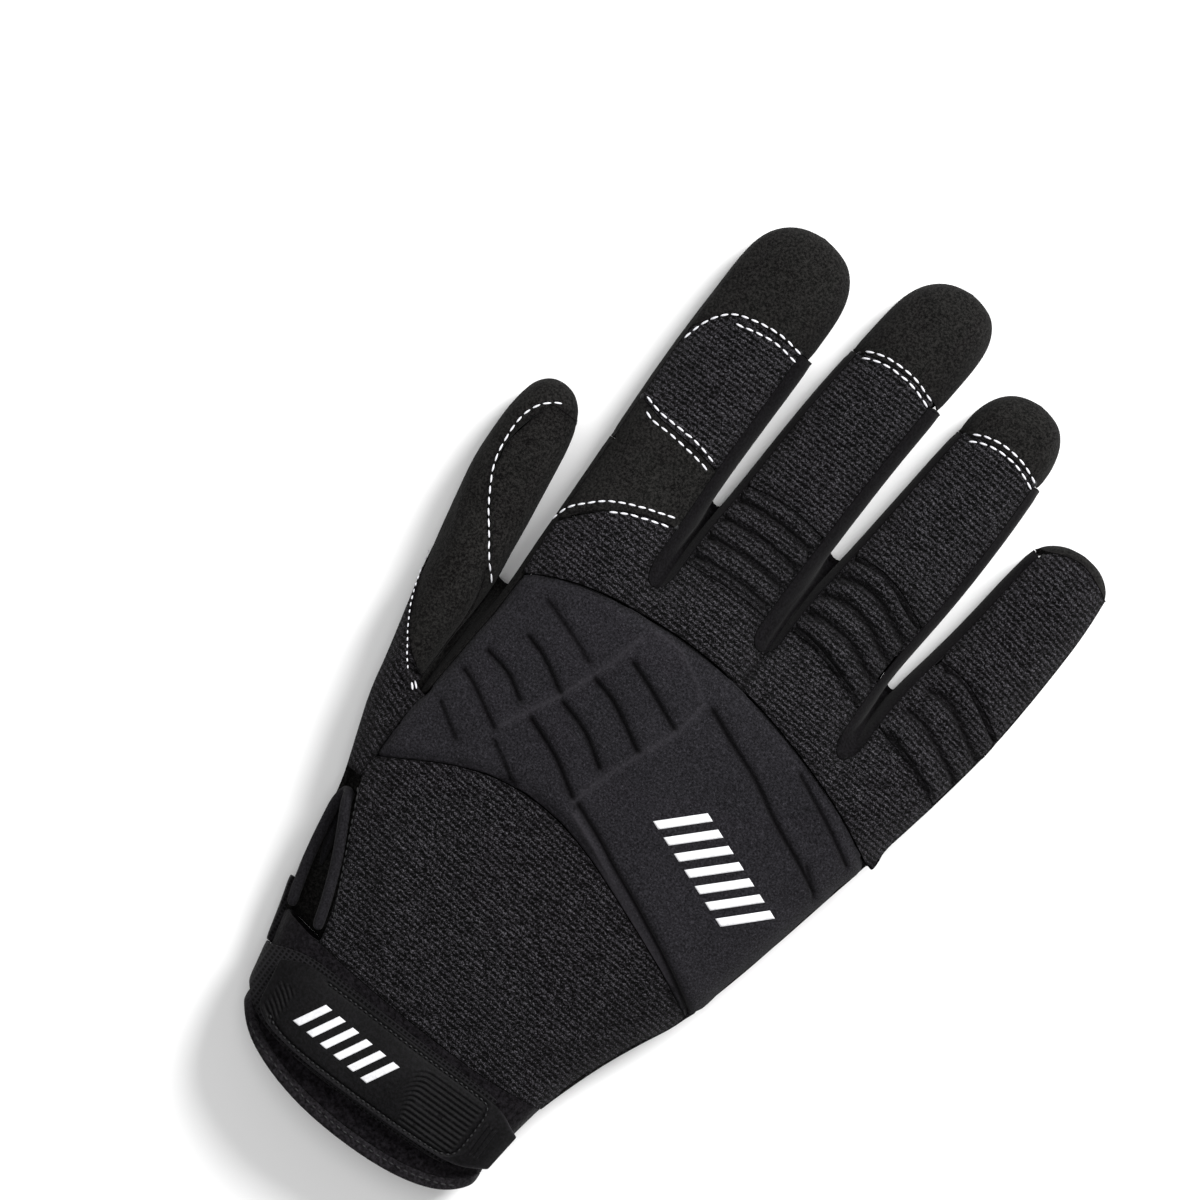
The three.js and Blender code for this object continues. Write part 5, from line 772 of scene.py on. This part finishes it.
def fold(name, line, width, height, depth):
    """A soft fold of cloth along a line with its base in the cloth below, thinning out at both ends"""
    places = stepped(rounded(line), 0.5)
    last = len(places) - 1
    arch = 12  # steps from one side of the fold over its top to the other
    made = bmesh.new()
    bmesh.ops.create_grid(made, x_segments=last, y_segments=arch + 1, size=0.5)
    for v in made.verts:
        k, step = round((v.co.x + 0.5) * last), round((v.co.y + 0.5) * (arch + 1)) % (arch + 1)
        ahead = places[min(k + 1, last)] - places[max(k - 1, 0)]
        across = np.array([-ahead[1], ahead[0]]) / np.hypot(*ahead)
        fat = math.sin(math.pi * (k + 0.6) / (last + 1.2)) ** 0.6
        angle = math.pi * step / arch
        x, y = places[k] + across * (width / 2 * fat * math.cos(angle)) - WRIST_MARK
        v.co = Vector((x, y, height + depth * fat * math.sin(angle))) * MM
    bmesh.ops.remove_doubles(made, verts=made.verts, dist=0.001 * MM)
    bmesh.ops.holes_fill(made, edges=made.edges)
    bmesh.ops.recalc_face_normals(made, faces=made.faces)
    mesh = bpy.data.meshes.new(name)
    made.to_mesh(mesh)
    made.free()
    return add_piece(name, mesh, finishes["slit_binding"])


fold("slit_inner_fold", [(-47, 47), (-45.6, 42), (-43.9, 37), (-42.2, 31.5)], 2.8, 6.2, 4.2)


def pad_outline(name):
    """The outline of an overlay's lower face, in the hand's millimetres"""
    shape = bmesh.new()
    shape.from_mesh(nodes[name].data)
    bmesh.ops.remove_doubles(shape, verts=shape.verts, dist=MERGE)
    lowest = min(v.co.z for v in shape.verts)
    flat = [f for f in shape.faces if all(v.co.z < lowest + 0.02 * MM for v in f.verts)]
    rim = [e for f in flat for e in f.edges if sum(g in flat for g in e.link_faces) == 1]
    chain = [*rim.pop(0).verts]
    while following := next((e for e in rim if chain[-1] in e.verts), None):
        rim.remove(following)
        chain.append(following.other_vert(chain[-1]))
    line = [(v.co.x / MM + WRIST_MARK[0], v.co.y / MM + WRIST_MARK[1]) for v in chain]
    shape.free()
    return line


def inset(line, by):
    """A closed line moved inwards by a distance in mm"""
    p = np.array(line[:-1] if np.hypot(*np.subtract(line[0], line[-1])) < 0.01 else line, float)
    area = 0.5 * np.sum(p[:, 0] * np.roll(p[:, 1], -1) - np.roll(p[:, 0], -1) * p[:, 1])
    ahead = np.roll(p, -1, axis=0) - np.roll(p, 1, axis=0)
    ahead /= np.hypot(*ahead.T)[:, None]
    inward = np.column_stack([-ahead[:, 1], ahead[:, 0]]) * (1 if area > 0 else -1)
    q = p + inward * by
    return [tuple(v) for v in q] + [tuple(q[0])]


palm_surface = surface_of([n for n in sewn if n in (*OVERLAYS, "palm_panel", "index_front")])
for pad in OVERLAYS:
    outline = pad_outline(pad)
    sew(pad.replace("palm_pad", "white_stitches_palm"), [inset(outline, 1.6), inset(outline, 3.8)], palm_surface,
        white, down=False)
BETWEEN_ROWS = [[(-17, 96 - k), (-2, 99.9 - k), (13, 103.5 - k)] for k in (-3.3, -1.1, 1.1, 3.3)]
sew("white_stitches_palm_between", BETWEEN_ROWS, palm_surface, white, down=False)

# Bars printed where the pad and the tab carry a mark, all of one plain slanted shape
PRINTS = [
    # name, middle x and y, turn in degrees, bars, pitch, bar width, bar height, slant, in mm
    ("pad_print", 34.5, 86.5, -21.5, 7, 4.6, 2.3, 12.0, 0.45),
    ("tab_print", -12.0, 1.5, -4.0, 6, 4.2, 2.0, 8.0, 0.45),
]


def printed_bars(name, middle_x, middle_y, turn, bars, pitch, wide, high, slant):
    """Thin slanted bars that follow the cloth under them"""
    shape = bmesh.new()
    c, s = math.cos(math.radians(turn)), math.sin(math.radians(turn))
    for k in range(bars):
        made = bmesh.ops.create_grid(shape, x_segments=5, y_segments=24, size=0.5)
        for v in made["verts"]:
            u = (k - (bars - 1) / 2) * pitch + v.co.x * wide + v.co.y * high * slant
            w = v.co.y * high
            x, y = middle_x + u * c - w * s, middle_y + u * s + w * c
            spot, out = laid(back_surface, x, y, around=0.2)
            v.co = spot + out * (0.12 * MM)
    bmesh.ops.solidify(shape, geom=shape.faces[:], thickness=0.1 * MM)
    bmesh.ops.recalc_face_normals(shape, faces=shape.faces)
    mesh = bpy.data.meshes.new(name)
    shape.to_mesh(mesh)
    shape.free()
    return add_piece(name, mesh, finishes["print"])


for row in PRINTS:
    printed_bars(*row)

# ---- floor, light and camera ----
floor_shape = bmesh.new()
bmesh.ops.create_grid(floor_shape, x_segments=1, y_segments=1, size=3)
bmesh.ops.translate(floor_shape, verts=floor_shape.verts, vec=(0, 0, -0.00005))
floor_mesh = bpy.data.meshes.new("floor")
floor_shape.to_mesh(floor_mesh)
floor_shape.free()
floor = bpy.data.objects.new("floor", floor_mesh)
bpy.context.scene.collection.objects.link(floor)
floor_finish = bpy.data.materials.new("matt_white_paper")
floor_finish.use_nodes = True
floor_finish.node_tree.nodes["Principled BSDF"].inputs["Base Color"].default_value = linear("#f0f0f0")
floor_finish.node_tree.nodes["Principled BSDF"].inputs["Roughness"].default_value = 1
floor.data.materials.append(floor_finish)


def soft_light(name, size, power, place, target=(0, 0, 0)):
    lamp = bpy.data.lights.new(name, "AREA")
    lamp.shape = "DISK"
    lamp.size = size
    lamp.energy = power
    lit = bpy.data.objects.new(name, lamp)
    bpy.context.scene.collection.objects.link(lit)
    lit.location = place
    lit.rotation_mode = "QUATERNION"
    lit.rotation_quaternion = (Vector(place) - Vector(target)).to_track_quat("Z", "Y")


soft_light("key", 0.7, 32, (0.35, 1.0, 1.0))
soft_light("top", 1.2, 16, (-0.2, -0.1, 1.8))
world = bpy.data.worlds.new("studio")
bpy.context.scene.world = world
world.use_nodes = True
world.node_tree.nodes["Background"].inputs[0].default_value = (1, 1, 1, 1)
world.node_tree.nodes["Background"].inputs[1].default_value = 0.3
bpy.context.scene.view_settings.view_transform = "Standard"

# The camera looks straight down, turned so that the fingers point up and to the right.
PICTURE_WIDTH = 0.288
CAMERA_TURN = 36
CAMERA_HEIGHT = 2.2
camera = bpy.data.cameras.new("camera")
camera.sensor_width = 36
camera.lens = 36 * (CAMERA_HEIGHT - 0.012) / PICTURE_WIDTH
camera.clip_start, camera.clip_end = 0.05, 20
eye = bpy.data.objects.new("camera", camera)
bpy.context.scene.collection.objects.link(eye)
eye.location = (-0.0269, 0.0142, CAMERA_HEIGHT)
eye.rotation_euler = (0, 0, math.radians(CAMERA_TURN))
bpy.context.scene.camera = eye
